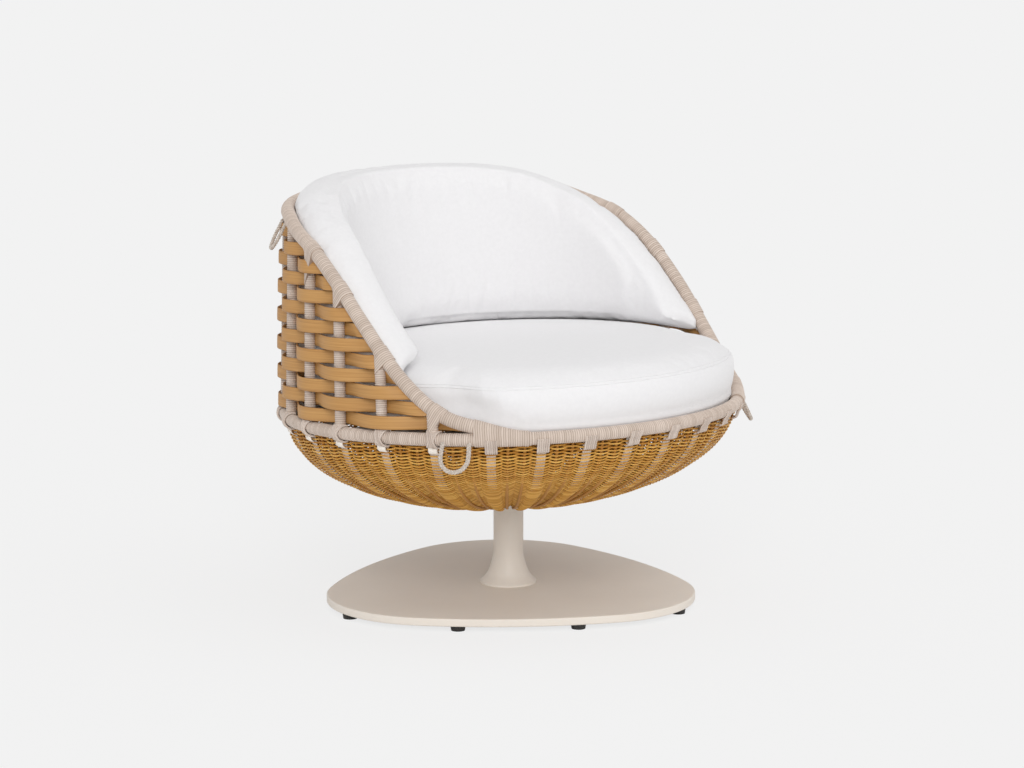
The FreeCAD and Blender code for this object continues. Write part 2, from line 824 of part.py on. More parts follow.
def back_section(angle):
    """Upright slice of the back cushion: a foot on the seat, a bulged front and a rounded head."""
    turn = abs(angle)
    fullness = math.sin(math.pi / 2 * (turn - wing_tip_angle) / (180 - wing_tip_angle))
    foot = wing_thickness + (back_foot_thickness - wing_thickness) * fullness
    head = wing_thickness + (back_head_thickness - wing_thickness) * fullness
    outer = back_outer_radius
    over_rim = back_over_rim * eased_share(turn, over_rim_angles, over_rim_shares)
    top_outer = rim_height(turn) + over_rim
    top_inner = top_outer + back_head_rise
    foot_outer = seat_top_at(outer - back_corner_radius, angle) + cushion_gap
    foot_inner = seat_top_at(outer - foot, angle) + cushion_gap
    corner = min(back_corner_radius, (top_outer - foot_outer) / 3, (top_inner - foot_inner) / 3)
    soft = corner * (1 - math.sin(math.radians(45)))

    def spot(inset, height):
        point = polar(outer - inset, angle, 0) + wall_shift(angle, height)
        return point + Vector(0, -seat_forward, waist_height + rake_lift(-point.y) + height)

    middle = (foot_inner + top_inner) / 2
    bulge = back_bulge + (foot + head) / 2
    crown = (top_outer + top_inner) / 2 + corner / 2
    sole = [spot(foot - corner, foot_inner)]
    for step in range(1, back_foot_steps):
        share = (1 - step / back_foot_steps) ** 2
        inset = corner + (foot - 2 * corner) * share
        sole.append(spot(inset, seat_top_at(outer - inset, angle) + cushion_gap))
    sole.append(spot(corner, foot_outer))
    return Part.Wire(
        [
            Part.makeLine(spot(0, foot_outer + corner), spot(0, top_outer - corner)),
            arc(spot(0, top_outer - corner), spot(soft, top_outer - soft), spot(corner, top_outer)),
            arc(spot(corner, top_outer), spot(head / 2, crown), spot(head - corner, top_inner)),
            arc(
                spot(head - corner, top_inner),
                spot(head - soft, top_inner - soft),
                spot(head, top_inner - corner),
            ),
            arc(
                spot(head, top_inner - corner),
                spot(bulge, middle),
                spot(foot, foot_inner + corner),
            ),
            arc(
                spot(foot, foot_inner + corner),
                spot(foot - soft, foot_inner + soft),
                spot(foot - corner, foot_inner),
            ),
        ]
        + [Part.makeLine(start, end) for start, end in zip(sole, sole[1:])]
        + [
            arc(
                spot(corner, foot_outer),
                spot(soft, foot_outer + soft),
                spot(0, foot_outer + corner),
            ),
        ]
    )


def make_back_cushion():
    """Wings and back in one loft round the inside of the frame."""
    sections = []
    count = 2 * back_stations_per_side
    for index in range(count + 1):
        station = wing_tip_angle + (360 - 2 * wing_tip_angle) * index / count
        sections.append(back_section(station if station <= 180 else station - 360))
    return Part.makeLoft(sections, True, True)


# Rope loops


def rounded_route(points):
    """Straight runs joined by the largest tangent arcs that the runs allow."""
    edges = []
    radii = []
    last = points[0]
    for index in range(1, len(points) - 1):
        corner = points[index]
        before = points[index - 1] - corner
        after = points[index + 1] - corner
        shorter = min(before.Length, after.Length)
        before.normalize()
        after.normalize()
        half_turn = (math.pi - before.getAngle(after)) / 2
        reach = loop_bend_share * shorter
        radius = reach / math.tan(half_turn)
        radii.append(radius)
        inward = before + after
        inward.normalize()
        centre = corner + inward * (radius / math.cos(half_turn))
        start = corner + before * reach
        end = corner + after * reach
        edges.append(Part.makeLine(last, start))
        edges.append(arc(start, centre - inward * radius, end))
        last = end
    edges.append(Part.makeLine(last, points[-1]))
    return Part.Wire(edges), radii


def loop_points(angle, centre):
    """The loop's route in a plane that leans outwards from the tube it is tied to."""
    out = polar(1, angle, 0)
    across = Z_AXIS.cross(out)
    lean = math.radians(loop_lean)
    down = out * math.sin(lean) - Z_AXIS * math.cos(lean)
    root = centre + out * loop_root[0] + Z_AXIS * loop_root[1]
    return [root + across * side + down * drop for side, drop in loop_route]


def make_loop(angle, centre, carrier):
    """Rope loop tied to a tube, its ends shaped to the tube's surface."""
    path, radii = rounded_route(loop_points(angle, centre))
    start = path.Edges[0].Vertexes[0].Point
    tangent = path.Edges[0].tangentAt(path.Edges[0].FirstParameter)
    section = Part.Wire(Part.makeCircle(rope_diameter / 2, start, tangent))
    rope = path.makePipeShell([section], True, False)
    expected = math.pi * (rope_diameter / 2) ** 2 * path.Length
    print("rope length", round(path.Length, 1), "radii", [round(r, 1) for r in radii])
    print("rope volume over section times length", round(rope.Volume / expected, 4))
    cut = rope.cut(carrier)
    return max(cut.Solids, key=lambda solid: solid.Volume)


def build():
    waist_ring = make_waist_ring()
    rim = make_rim(waist_ring)
    parts = {
        "base_plate": make_base_plate(),
        "glides": make_glides(),
        "glide_screws": make_glide_screws(),
        "column": make_column(),
        "column_screws": Part.makeCompound(column_screw_shapes()),
        "upper_bush": make_upper_bush(),
        "lower_bush": make_lower_bush(),
        "spindle": make_spindle(),
        "spindle_clip": make_spindle_clip(),
        "swivel_plate": make_swivel_plate(),
        "rake_wedge": make_rake_wedge(),
        "frame_hub": make_frame_hub(),
        "hub_screws": Part.makeCompound(hub_screw_shapes()),
        "waist_ring": waist_ring,
        "rim": rim,
        "bowl_ribs": make_ribs(),
        "bowl_weave": make_bowl(),
        "webbing_across": make_webbing(False),
        "webbing_lengthways": make_webbing(True),
        "seat_cushion": make_seat_cushion(),
        "back_cushion": make_back_cushion(),
    }
    for bay in range(first_pole_bay, last_pole_bay):
        number = bay - first_pole_bay + 1
        parts["pole_right_%d" % number] = make_pole(pole_angle(bay), waist_ring, rim)
        parts["pole_left_%d" % number] = make_pole(-pole_angle(bay), waist_ring, rim)
    parts["pole_back"] = make_pole(180, waist_ring, rim)
    for row in range(strap_row_count()):
        parts["strap_row_%02d" % (row + 1)] = make_strap(row)
    front_loops = []
    rear_loops = []
    for sign in (1, -1):
        front = sign * front_loop_angle
        rear = sign * rear_loop_angle
        front_loops.append(make_loop(front, waist_point(front), waist_ring))
        rear_loops.append(make_loop(rear, rim_point(rear), rim))
    parts["rope_loops_front"] = Part.makeCompound(front_loops)
    parts["rope_loops_rear"] = Part.makeCompound(rear_loops)
    return parts


os.makedirs("parts", exist_ok=True)
for name, shape in build().items():
    if not shape.isValid():
        print("not valid:", name)
    shape.exportStep("parts/" + name + ".step")
    print(name, len(shape.Solids), "solids", round(shape.Volume / 1000.0, 2), "cm3")
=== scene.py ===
# %% [markdown]
# # A swivel lounge chair with a woven bowl seat
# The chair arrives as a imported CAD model, the frame. Its metal base is already the right
# shape and only needs a finish. Everything that is wound, woven, sewn or stuffed is made
# here, each piece on the node that it stands for, so that it keeps its place and size.

import math
import random

import bmesh
import bpy
import numpy as np
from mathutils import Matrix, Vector
from mathutils.bvhtree import BVHTree


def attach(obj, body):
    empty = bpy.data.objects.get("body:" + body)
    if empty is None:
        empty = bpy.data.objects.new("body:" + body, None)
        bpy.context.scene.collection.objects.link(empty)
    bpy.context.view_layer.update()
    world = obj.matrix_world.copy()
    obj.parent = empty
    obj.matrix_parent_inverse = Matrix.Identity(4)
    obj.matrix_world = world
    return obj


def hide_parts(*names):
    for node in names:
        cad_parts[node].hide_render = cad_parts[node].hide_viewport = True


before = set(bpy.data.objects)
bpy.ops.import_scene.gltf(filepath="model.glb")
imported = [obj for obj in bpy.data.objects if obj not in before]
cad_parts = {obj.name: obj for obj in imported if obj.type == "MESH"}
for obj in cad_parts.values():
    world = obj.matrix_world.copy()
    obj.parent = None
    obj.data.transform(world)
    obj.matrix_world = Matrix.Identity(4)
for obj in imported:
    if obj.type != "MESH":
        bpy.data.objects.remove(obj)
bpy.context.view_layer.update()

# %% [markdown]
# ## The sizes that the pieces share
# The seat frame is a round waist ring, tipped back a little, with a rim that rises behind
# it. The wall between the two draws in and leans back as it climbs. Its poles and the
# bowl's flat stakes stand at listed places, closer together at the front. All angles
# are counted from the seat's front, which faces -y, and are positive towards +x. Right
# and left in names are the sides as seen from the front, so +x is right.

# %% Shared sizes, in metres
FRAME_RADIUS = 0.466
WAIST_HEIGHT = 0.405
SEAT_FORWARD = 0.010
WALL_IN = 0.11
WALL_BACK = 0.14
WALL_BELLY = 0.005
WAIST_TUBE = 0.013
RIM_TUBE = 0.014
POLE_TUBE = 0.011
RIM_RISE = 0.425
RIM_ANGLES = [38, 50, 60, 70, 80, 90, 100, 110, 125, 180]
RIM_SHARES = [0.0, 0.05, 0.114, 0.272, 0.491, 0.686, 0.818, 0.888, 0.964, 1.0]
RAKE = math.radians(2.66)
STAKE_ANGLES = [0, 11.9, 23.6, 35.2, 47.6, 61.9, 75.8, 89.5, 103.0, 116.8, 129.8, 142.5, 155.1,
                167.6, 180]
FIRST_POLE = 5
LAST_POLE = len(STAKE_ANGLES) - 1
BAYS = 2 * LAST_POLE
UP = Vector((0, 0, 1))


def polar(radius, angle):
    """A level vector of that length at the angle; with length 1 it is the way outwards."""
    turn = math.radians(angle)
    return Vector((radius * math.sin(turn), -radius * math.cos(turn), 0.0))


def pole_angle(place):
    """Angle of a stake or pole counted from the front, or of a place part of the way on."""
    turn = place % BAYS
    mirrored = min(turn, BAYS - turn)
    first = min(int(mirrored), LAST_POLE - 1)
    low, high = STAKE_ANGLES[first:first + 2]
    angle = low + (high - low) * (mirrored - first)
    return angle if turn <= LAST_POLE else 360 - angle


def place_at(angle):
    """The inverse: how many stakes lie between the front and an angle up to 360."""
    turn = min(angle % 360, 360 - angle % 360)
    first = max(i for i in range(LAST_POLE) if STAKE_ANGLES[i] <= turn)
    low, high = STAKE_ANGLES[first:first + 2]
    place = first + (turn - low) / (high - low)
    return place if angle % 360 <= 180 else BAYS - place


def eased(angle, stops, shares):
    """The smooth curve through the shares that the frame's rim follows."""
    turn = min(max(abs(angle), stops[0]), stops[-1])
    last = len(stops) - 1
    step = min(sum(1 for stop in stops[1:] if turn >= stop), last - 1)

    def slope(i):
        if i in (0, last):
            return 0.0
        return (shares[i + 1] - shares[i - 1]) / (stops[i + 1] - stops[i - 1])

    span = stops[step + 1] - stops[step]
    t = (turn - stops[step]) / span
    return (shares[step] * (1 + 2 * t) * (1 - t) ** 2 + shares[step + 1] * t * t * (3 - 2 * t)
            + slope(step) * span * t * (1 - t) ** 2 - slope(step + 1) * span * t * t * (1 - t))


def rim_height(angle):
    turn = abs(angle) if abs(angle) <= 180 else 360 - abs(angle)
    return RIM_RISE * eased(turn, RIM_ANGLES, RIM_SHARES)


def wall_rise(angle, height):
    """The way from the ring up the wall to a height: it draws in and leans back."""
    return polar(-WALL_IN * height, angle) + Vector((0, WALL_BACK * height, height))


def belly(angle, height):
    """The poles bow outwards a little between the ring and the rim."""
    full = max(rim_height(angle), 0.001)
    share = min(height / full, 1.0)
    return WALL_BELLY * min(full / 0.35, 1.0) ** 2 * 4 * share * (1 - share)


def on_ring(radius, angle, height=0.0):
    """A point by the wall: the radius is counted at the ring, the height from its plane."""
    p = polar(radius, angle)
    if height > 0:
        p *= 1 + belly(angle, height) / FRAME_RADIUS
    seated = Vector((0, -SEAT_FORWARD, WAIST_HEIGHT - p.y * math.tan(RAKE)))
    return p + wall_rise(angle, height) + seated


def rim_point(angle):
    return on_ring(FRAME_RADIUS, angle, rim_height(angle))


# %% [markdown]
# ## Colours and finishes
# Each finish is a small node tree. Colours are written as they look on the chair in plain
# light and turned to linear values. Patterns read Object coordinates, which are metres, so
# a noise scale of 800 has grains of about a millimetre and a bit.

# %% Node helpers
WHITE = (1, 1, 1, 1)


def linear(r, g, b):
    def one(c):
        c /= 255.0
        return c / 12.92 if c <= 0.04045 else ((c + 0.055) / 1.055) ** 2.4
    return (one(r), one(g), one(b), 1.0)


def fill_socket(tree, value, socket):
    """Links the value if it is a socket, or else sets it as the socket's constant."""
    if hasattr(value, "is_output"):
        tree.links.new(value, socket)
    else:
        socket.default_value = value


def math_node(tree, kind, *values):
    made = tree.nodes.new("ShaderNodeMath")
    made.operation = kind
    for index, value in enumerate(values):
        fill_socket(tree, value, made.inputs[index])
    return made.outputs[0]


class Finish:
    """A material with its shader, and short ways to add the nodes that feed it."""

    def __init__(self, name, colour, roughness, sheen=0.0, metallic=0.0):
        self.material = bpy.data.materials.new(name)
        self.material.use_nodes = True
        self.tree = self.material.node_tree
        self.shader = next(n for n in self.tree.nodes if n.type == "BSDF_PRINCIPLED")
        for label, value in (("Base Color", colour), ("Roughness", roughness),
                             ("Metallic", metallic), ("Sheen Weight", sheen)):
            self.shader.inputs[label].default_value = value
        self.material.diffuse_color = colour
        self.spot = self.node("ShaderNodeTexCoord").outputs["Object"]

    def node(self, kind, **settings):
        made = self.tree.nodes.new(kind)
        for key, value in settings.items():
            setattr(made, key, value)
        return made

    def link(self, source, target):
        self.tree.links.new(source, target)

    def feed(self, made, **values):
        for key, value in values.items():
            fill_socket(self.tree, value, made.inputs[key.replace("_", " ")])
        return made

    def noise(self, scale, detail=3.0, stretch=None, where=None):
        source = where or self.spot
        if stretch:
            mapping = self.node("ShaderNodeMapping")
            source = self.feed(mapping, Vector=source, Scale=stretch).outputs[0]
        made = self.node("ShaderNodeTexNoise")
        return self.feed(made, Vector=source, Scale=scale, Detail=detail).outputs["Fac"]

    def ramp(self, fac, stops):
        made = self.node("ShaderNodeValToRGB")
        self.link(fac, made.inputs[0])
        while len(made.color_ramp.elements) < len(stops):
            made.color_ramp.elements.new(0.5)
        for element, (place, colour) in zip(made.color_ramp.elements, stops):
            element.position = place
            element.color = colour
        return made.outputs["Color"]

    def mix(self, fac, a, b, blend="MIX"):
        made = self.node("ShaderNodeMix", data_type="RGBA", blend_type=blend)
        for index, value in ((0, fac), (6, a), (7, b)):
            fill_socket(self.tree, value, made.inputs[index])
        return made.outputs[2]

    def math(self, kind, *values):
        return math_node(self.tree, kind, *values)

    def attribute(self, name):
        return self.node("ShaderNodeAttribute", attribute_name=name).outputs["Fac"]

    def colour(self, source):
        self.link(source, self.shader.inputs["Base Color"])

    def roughness(self, fac, low, high):
        made = self.node("ShaderNodeMapRange")
        self.feed(made, Value=fac, To_Min=low, To_Max=high)
        self.link(made.outputs[0], self.shader.inputs["Roughness"])

    def bump(self, height, strength, distance):
        made = self.node("ShaderNodeBump")
        self.feed(made, Height=height, Strength=strength, Distance=distance)
        previous = self.shader.inputs["Normal"].links
        if previous:
            self.link(previous[0].from_socket, made.inputs["Normal"])
        self.link(made.outputs[0], self.shader.inputs["Normal"])


# %% [markdown]
# ### Sand-coated metal
# The plate and the column are aluminium with a satin powder coat. Powder melts into a very
# fine orange peel, and the colour hardly varies, so the finish is a soft sheen with a
# millimetre-sized bump and a faint cloudiness.

# %% Sand-coated metal
def coated(name, colour, darker):
    f = Finish(name, colour, 0.5)
    f.colour(f.mix(f.noise(9, 4), colour, darker))
    f.roughness(f.noise(400, 3), 0.42, 0.6)
    f.bump(f.noise(900, 2), 0.12, 0.0004)
    return f.material


sand_coat = coated("sand_coat", linear(236, 229, 219), linear(229, 221, 211))
frame_coat = coated("frame_coat", linear(176, 166, 152), linear(166, 156, 142))

# %% [markdown]
# ### Plain steel and moulded plastic
# Screws and the spindle are zinc-plated steel. The glides are black moulded plastic and the
# bushes are pale bearing plastic, both with the faint texture of a mould.

# %% Steel and plastics
def moulded(name, colour, low, high):
    f = Finish(name, colour, low)
    f.roughness(f.noise(350, 2), low, high)
    f.bump(f.noise(1400, 2), 0.1, 0.0002)
    return f.material


steel = Finish("plain_steel", linear(170, 171, 174), 0.32, metallic=1.0)
steel.roughness(steel.noise(600, 3, (1, 1, 6)), 0.25, 0.42)
steel = steel.material
black_plastic = moulded("black_plastic", linear(38, 37, 36), 0.4, 0.6)
bearing_plastic = moulded("bearing_plastic", linear(214, 210, 200), 0.35, 0.5)

# %% [markdown]
# ### Wound cord
# Every tube of the seat is wound with a beige cord about 4 mm thick. The turns are real
# geometry, made further down, so the finish only adds what is smaller: a twist of fine
# fibres, a slightly different tone from turn to turn, and painted shade in the grooves
# between them.
# The tone of a turn comes from an attribute that the winding tree writes.

# %% Wound cord
def cord_finish(name, pale, deep, grooved=False):
    f = Finish(name, pale, 0.85, sheen=0.15)
    tone = f.mix(f.attribute("cord_tone" if grooved else "strand_tone"), deep, pale)
    if grooved:
        # Painted shade: the colour darkens where the point sits low between two turns of cord.
        groove = f.ramp(f.attribute("cord_crest"), [(0.0, linear(190, 173, 159)), (0.55, WHITE)])
        tone = f.mix(1.0, tone, groove, "MULTIPLY")
    cloudy = f.mix(f.noise(14, 3), WHITE, (0.93, 0.92, 0.91, 1))
    f.colour(f.mix(1.0, tone, cloudy, "MULTIPLY"))
    f.bump(f.noise(1900, 3), 0.3, 0.0004)
    return f.material


wound_cord = cord_finish("wound_cord", linear(219, 204, 192), linear(200, 184, 171), True)
lashing_cord = cord_finish("lashing_cord", linear(217, 203, 192), linear(197, 181, 169))
rope_cord = cord_finish("rope_cord", linear(208, 198, 188), linear(178, 166, 154))

# %% [markdown]
# ### Ochre strap and strand
# The straps are flat extrusions with long fine streaks, like planed wood, and the bowl's
# strands are thin round lengths of the same stuff, each a little lighter or darker than
# its neighbour. The streaks run along the strap because its coordinates are stored that
# way in a UV map when it is made.

# %% Ochre strap
def strap_finish():
    f = Finish("ochre_strap", linear(193, 146, 86), 0.55)
    along = f.node("ShaderNodeUVMap", uv_map="strap").outputs[0]
    streak = f.noise(1.0, 4, (6, 420, 1), along)
    broad = f.noise(1.0, 3, (3, 40, 1), along)
    tone = f.ramp(streak, [(0.25, linear(176, 130, 73)), (0.5, linear(195, 149, 89)),
                           (0.78, linear(209, 165, 104))])
    tone = f.mix(broad, tone, f.mix(1.0, tone, linear(238, 226, 210), "MULTIPLY"))
    # Painted shade: the strap's rounded edges, which face the narrow gaps between rows, are
    # darkened.
    edge_shade = [(0.0, WHITE), (0.75, WHITE), (1.0, linear(205, 190, 170))]
    f.colour(f.mix(1.0, tone, f.ramp(f.attribute("strap_edge"), edge_shade), "MULTIPLY"))
    f.roughness(streak, 0.45, 0.68)
    f.bump(streak, 0.18, 0.0004)
    return f.material


def strand_finish():
    f = Finish("ochre_strand", linear(200, 146, 70), 0.5)
    tones = [(0.0, linear(192, 134, 42)), (0.5, linear(216, 162, 68)), (1.0, linear(238, 190, 98))]
    tone = f.ramp(f.attribute("strand_tone"), tones)
    tone = f.mix(f.noise(30, 3), tone, f.mix(1.0, tone, linear(225, 212, 196), "MULTIPLY"))
    f.colour(tone)
    f.roughness(f.noise(500, 2), 0.4, 0.6)
    f.bump(f.noise(1500, 2), 0.15, 0.0003)
    return f.material


ochre_strap = strap_finish()
ochre_strand = strand_finish()

# %% [markdown]
# ### White outdoor cloth, webbing and pale stakes
# The covers are a close plain weave of white acrylic yarn. Two crossed waves at the yarn's
# pitch give the weave, and a broad noise keeps the large flat faces from looking blank.

# %% Cloth and stakes
def woven(name, pale, deep, pitch, strength):
    f = Finish(name, pale, 0.9, sheen=0.25)
    split = f.node("ShaderNodeSeparateXYZ")
    f.link(f.spot, split.inputs[0])
    turn = 2 * math.pi / pitch
    upright = f.math("MULTIPLY", split.outputs["Z"], turn * 0.71)
    waves = [f.math("SINE", f.math("ADD", f.math("MULTIPLY", split.outputs[way], turn), upright))
             for way in "XY"]
    weave = f.math("MULTIPLY", *waves)
    f.colour(f.mix(f.noise(120, 3), pale, deep))
    f.bump(weave, strength, 0.0003)
    f.bump(f.noise(28, 3), 0.12, 0.003)
    return f.material


white_cloth = woven("white_cloth", linear(238, 237, 238), linear(231, 230, 231), 0.0014, 0.25)
webbing_cloth = woven("webbing_cloth", linear(168, 158, 146), linear(150, 140, 128), 0.004, 0.5)
pale_stake = moulded("pale_stake", linear(240, 232, 222), 0.55, 0.75)
ochre_stake = moulded("ochre_stake", linear(176, 122, 52), 0.5, 0.7)

# %% Give the frame's own nodes their finishes
cad_finish = {
    "base_plate": sand_coat, "column": sand_coat, "glides": black_plastic,
    "swivel_plate": frame_coat, "rake_wedge": frame_coat, "frame_hub": frame_coat,
    "spindle": steel, "spindle_clip": steel, "glide_screws": steel,
    "column_screws": steel, "hub_screws": steel,
    "upper_bush": bearing_plastic, "lower_bush": bearing_plastic,
    "webbing_across": webbing_cloth, "webbing_lengthways": webbing_cloth,
}
for name, material in cad_finish.items():
    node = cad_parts[name]
    node.data.materials.clear()
    node.data.materials.append(material)

# %% [markdown]
# ## Helpers for the pieces made here
# A path is a list of points. Paths become one curve object with a spline each, and a
# Geometry Nodes tree turns the splines into tubes, so the same rule makes a strand, a
# stake or a cord winding. The result is made a plain mesh before it joins the frame.

# %% Paths, trees and finished pieces
def placed(name, data):
    made = bpy.data.objects.new(name, data)
    bpy.context.scene.collection.objects.link(made)
    return made


def evaluated_mesh(piece):
    """The piece's mesh with its modifiers done; the piece itself goes."""
    bpy.context.view_layer.update()
    evaluated = piece.evaluated_get(bpy.context.evaluated_depsgraph_get())
    mesh = bpy.data.meshes.new_from_object(evaluated)
    bpy.data.objects.remove(piece)
    return mesh


def curve_of(name, paths, cyclic=False, tones=None):
    """One curve object with a spline for each path; its tone rides in its points' radius."""
    data = bpy.data.curves.new(name, "CURVE")
    data.dimensions = "3D"
    for number, path in enumerate(paths):
        spline = data.splines.new("POLY")
        spline.points.add(len(path) - 1)
        tone = tones[number] if tones else 1.0
        flat = np.ones((len(path), 4), np.float32)
        flat[:, :3] = path
        spline.points.foreach_set("co", flat.ravel())
        spline.points.foreach_set("radius", [tone] * len(path))
        spline.use_cyclic_u = cyclic
    return placed(name, data)


def add_nodes(tree, *kinds):
    return [tree.nodes.new(kind) for kind in kinds]


def tree_with(name, inputs):
    tree = bpy.data.node_groups.new(name, "GeometryNodeTree")
    tree.interface.new_socket("Geometry", in_out="INPUT", socket_type="NodeSocketGeometry")
    for label, kind, value in inputs:
        socket = tree.interface.new_socket(label, in_out="INPUT", socket_type=kind)
        if value is not None:
            socket.default_value = value
    tree.interface.new_socket("Geometry", in_out="OUTPUT", socket_type="NodeSocketGeometry")
    return tree


def apply_tree(piece, tree, values, name):
    """Sets the tree's named inputs, evaluates it once and returns a plain mesh object."""
    modifier = piece.modifiers.new("make", "NODES")
    modifier.node_group = tree
    for item in tree.interface.items_tree:
        if item.item_type == "SOCKET" and item.in_out == "INPUT" and item.name in values:
            modifier[item.identifier] = values[item.name]
    mesh = evaluated_mesh(piece)
    mesh.name = name
    print(name, len(mesh.polygons), "faces")
    return placed(name, mesh)


def settle(piece, body, slot, *nodes):
    """The last step of every piece: the body it rides on and the nodes it stands for."""
    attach(piece, body)
    if nodes:
        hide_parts(*nodes)


def loft_faces(base, rings, n, turned=False):
    """Quads between rings of n points from index base on, and a cap at each end."""
    faces = []
    for i in range(rings - 1):
        for k in range(n):
            a, b = base + i * n + k, base + i * n + (k + 1) % n
            faces.append((a, a + n, b + n, b) if turned else (a, b, b + n, a + n))
    first = [base + k for k in range(n)]
    last = [k + (rings - 1) * n for k in first]
    caps = (first, last[::-1]) if turned else (first[::-1], last)
    return faces + [tuple(cap) for cap in caps]


def face_outwards(mesh, join_within=None):
    work = bmesh.new()
    work.from_mesh(mesh)
    if join_within:
        bmesh.ops.remove_doubles(work, verts=work.verts, dist=join_within)
    bmesh.ops.recalc_face_normals(work, faces=work.faces)
    work.to_mesh(mesh)
    work.free()


def mesh_piece(name, verts, faces, material, solid=True):
    mesh = bpy.data.meshes.new(name)
    mesh.from_pydata([tuple(v) for v in verts], [], faces)
    mesh.validate()
    if solid:
        mesh.shade_smooth()
        face_outwards(mesh)
    mesh.materials.append(material)
    return placed(name, mesh)


# %% [markdown]
# ### Round cords along many lines
# Loops, lashings and the bowl's strands are all round cords. A small node tree turns a set
# of lines into tubes, and one number for each line, strand_tone, varies their colour.

# %% Cords along lines
def with_value(tree, curve, label, value):
    """Stores a number on the curve's points, to be read by the finish."""
    store = tree.nodes.new("GeometryNodeStoreNamedAttribute")
    store.data_type = "FLOAT"
    store.domain = "POINT"
    store.inputs["Name"].default_value = label
    tree.links.new(curve, store.inputs["Geometry"])
    tree.links.new(value, store.inputs["Value"])
    return store.outputs[0]


def skin_along(tree, start, curve, scale):
    """The last part of both trees: a round skin, shaded smooth, with its finish."""
    circle, *chain = add_nodes(
        tree, "GeometryNodeCurvePrimitiveCircle", "GeometryNodeCurveToMesh",
        "GeometryNodeSetShadeSmooth", "GeometryNodeRealizeInstances",
        "GeometryNodeSetMaterial", "NodeGroupOutput")
    circle.inputs["Radius"].default_value = 1.0
    link = tree.links.new
    link(start.outputs["Sides"], circle.inputs["Resolution"])
    skin, paint = chain[0], chain[3]
    skin.inputs["Fill Caps"].default_value = True
    link(curve, skin.inputs["Curve"])
    link(circle.outputs[0], skin.inputs["Profile Curve"])
    link(scale, skin.inputs["Scale"])
    link(start.outputs["Finish"], paint.inputs["Material"])
    for source, target in zip(chain, chain[1:]):
        link(source.outputs[0], target.inputs[0])


def strand_tree():
    tree = tree_with("strand_skin", [
        ("Strand Radius", "NodeSocketFloat", 0.0017), ("Sides", "NodeSocketInt", 5),
        ("Finish", "NodeSocketMaterial", None)])
    start, tone = add_nodes(tree, "NodeGroupInput", "GeometryNodeInputRadius")
    toned = with_value(tree, start.outputs["Geometry"], "strand_tone", tone.outputs[0])
    skin_along(tree, start, toned, start.outputs["Strand Radius"])
    return tree


strand_skin = strand_tree()


def skin_paths(name, paths, radius, material, sides=5, cyclic=False, tones=None):
    piece = curve_of(name, paths, cyclic, tones)
    values = {"Strand Radius": radius, "Sides": sides, "Finish": material}
    return apply_tree(piece, strand_skin, values, name)


# %% [markdown]
# ## Camera
# The camera stands in front and to the left, a little above the seat, with a long lens, as
# in the reference picture.

# %% Camera
lens = bpy.data.cameras.new("camera")
lens.sensor_width = 36.0
lens.lens = 138.405
lens.clip_end = 100.0
camera = placed("camera", lens)
camera.location = (-5.4221, -5.8822, 1.8958)
camera.rotation_euler = (math.radians(79.7166), 0.0, math.radians(-42.7225))
bpy.context.scene.camera = camera
bpy.context.scene.view_settings.view_transform = "Standard"

# %% [markdown]
# ## Rope loops
# Four loops of braided cord hang from the tubes, two at the front of the ring and two at
# the back of the rim. Each follows a smooth spline led by the same points as the solid in
# the frame, and three thin cords plait round that line.

# %% Rope loops
LOOP_ROUTE = [(-0.026, 0.0), (-0.0285, 0.022), (-0.027, 0.044), (-0.0115, 0.060),
              (0.0115, 0.060), (0.027, 0.044), (0.0285, 0.022), (0.026, 0.0)]
LOOP_LEAN = math.radians(27)
LOOP_ROOT_OUT, LOOP_ROOT_DROP = 0.010, 0.004
FRONT_LOOP, REAR_LOOP = 55.9, 123.3
ROPE, ROPE_STRAND = 0.0075, 0.0021
REAR_LOWER = 0.009
LOOP_STEPS = 170
PLAIT_PITCH, PLAIT_WIDE, PLAIT_DEEP = 0.017, 0.0026, 0.0017


def loop_line(angle, centre, lower):
    """The line of a loop's cord: it hangs from the tube and leans outwards."""
    out = polar(1.0, angle)
    across = UP.cross(out)
    down = out * math.sin(LOOP_LEAN) - UP * math.cos(LOOP_LEAN)
    root = centre + out * LOOP_ROOT_OUT - UP * (LOOP_ROOT_DROP + lower)
    data = bpy.data.curves.new("loop_line", "CURVE")
    data.dimensions = "3D"
    spline = data.splines.new("NURBS")
    spline.points.add(len(LOOP_ROUTE) - 1)
    for point, (side, drop) in zip(spline.points, LOOP_ROUTE):
        point.co = (*(root + across * side + down * drop), 1.0)
    spline.order_u = 3
    spline.use_endpoint_u = True
    spline.resolution_u = 12
    return np.array([tuple(v.co) for v in evaluated_mesh(placed("loop_line", data)).vertices])


def even_steps(flat, count):
    length = np.concatenate([[0], np.cumsum(np.linalg.norm(np.diff(flat, axis=0), axis=1))])
    places = np.linspace(0, length[-1], count)
    return np.stack([np.interp(places, length, flat[:, k]) for k in range(3)], 1), float(length[-1])


def rope_loop(name, angle, centre, node, lower=0.0):
    line, length = even_steps(loop_line(angle, centre, lower), LOOP_STEPS)
    ahead = np.gradient(line, axis=0)
    ahead /= np.linalg.norm(ahead, axis=1)[:, None]
    plane = np.cross(ahead[20], ahead[-20])
    plane /= np.linalg.norm(plane)
    side = np.cross(ahead, plane)
    paths = []
    for strand in range(3):
        phase = 2 * math.pi * (np.linspace(0, length, len(line)) / PLAIT_PITCH + strand / 3)
        wide = PLAIT_WIDE * np.sin(phase)
        deep = PLAIT_DEEP * np.sin(2 * phase)
        paths.append(line + side * wide[:, None] + plane[None, :] * deep[:, None])
    piece = skin_paths(name, paths, ROPE_STRAND, rope_cord, 8, False, [1.0, 0.75, 0.5])
    settle(piece, "seat", "rope", node)
    print(name, round(length * 1000, 1), "mm")


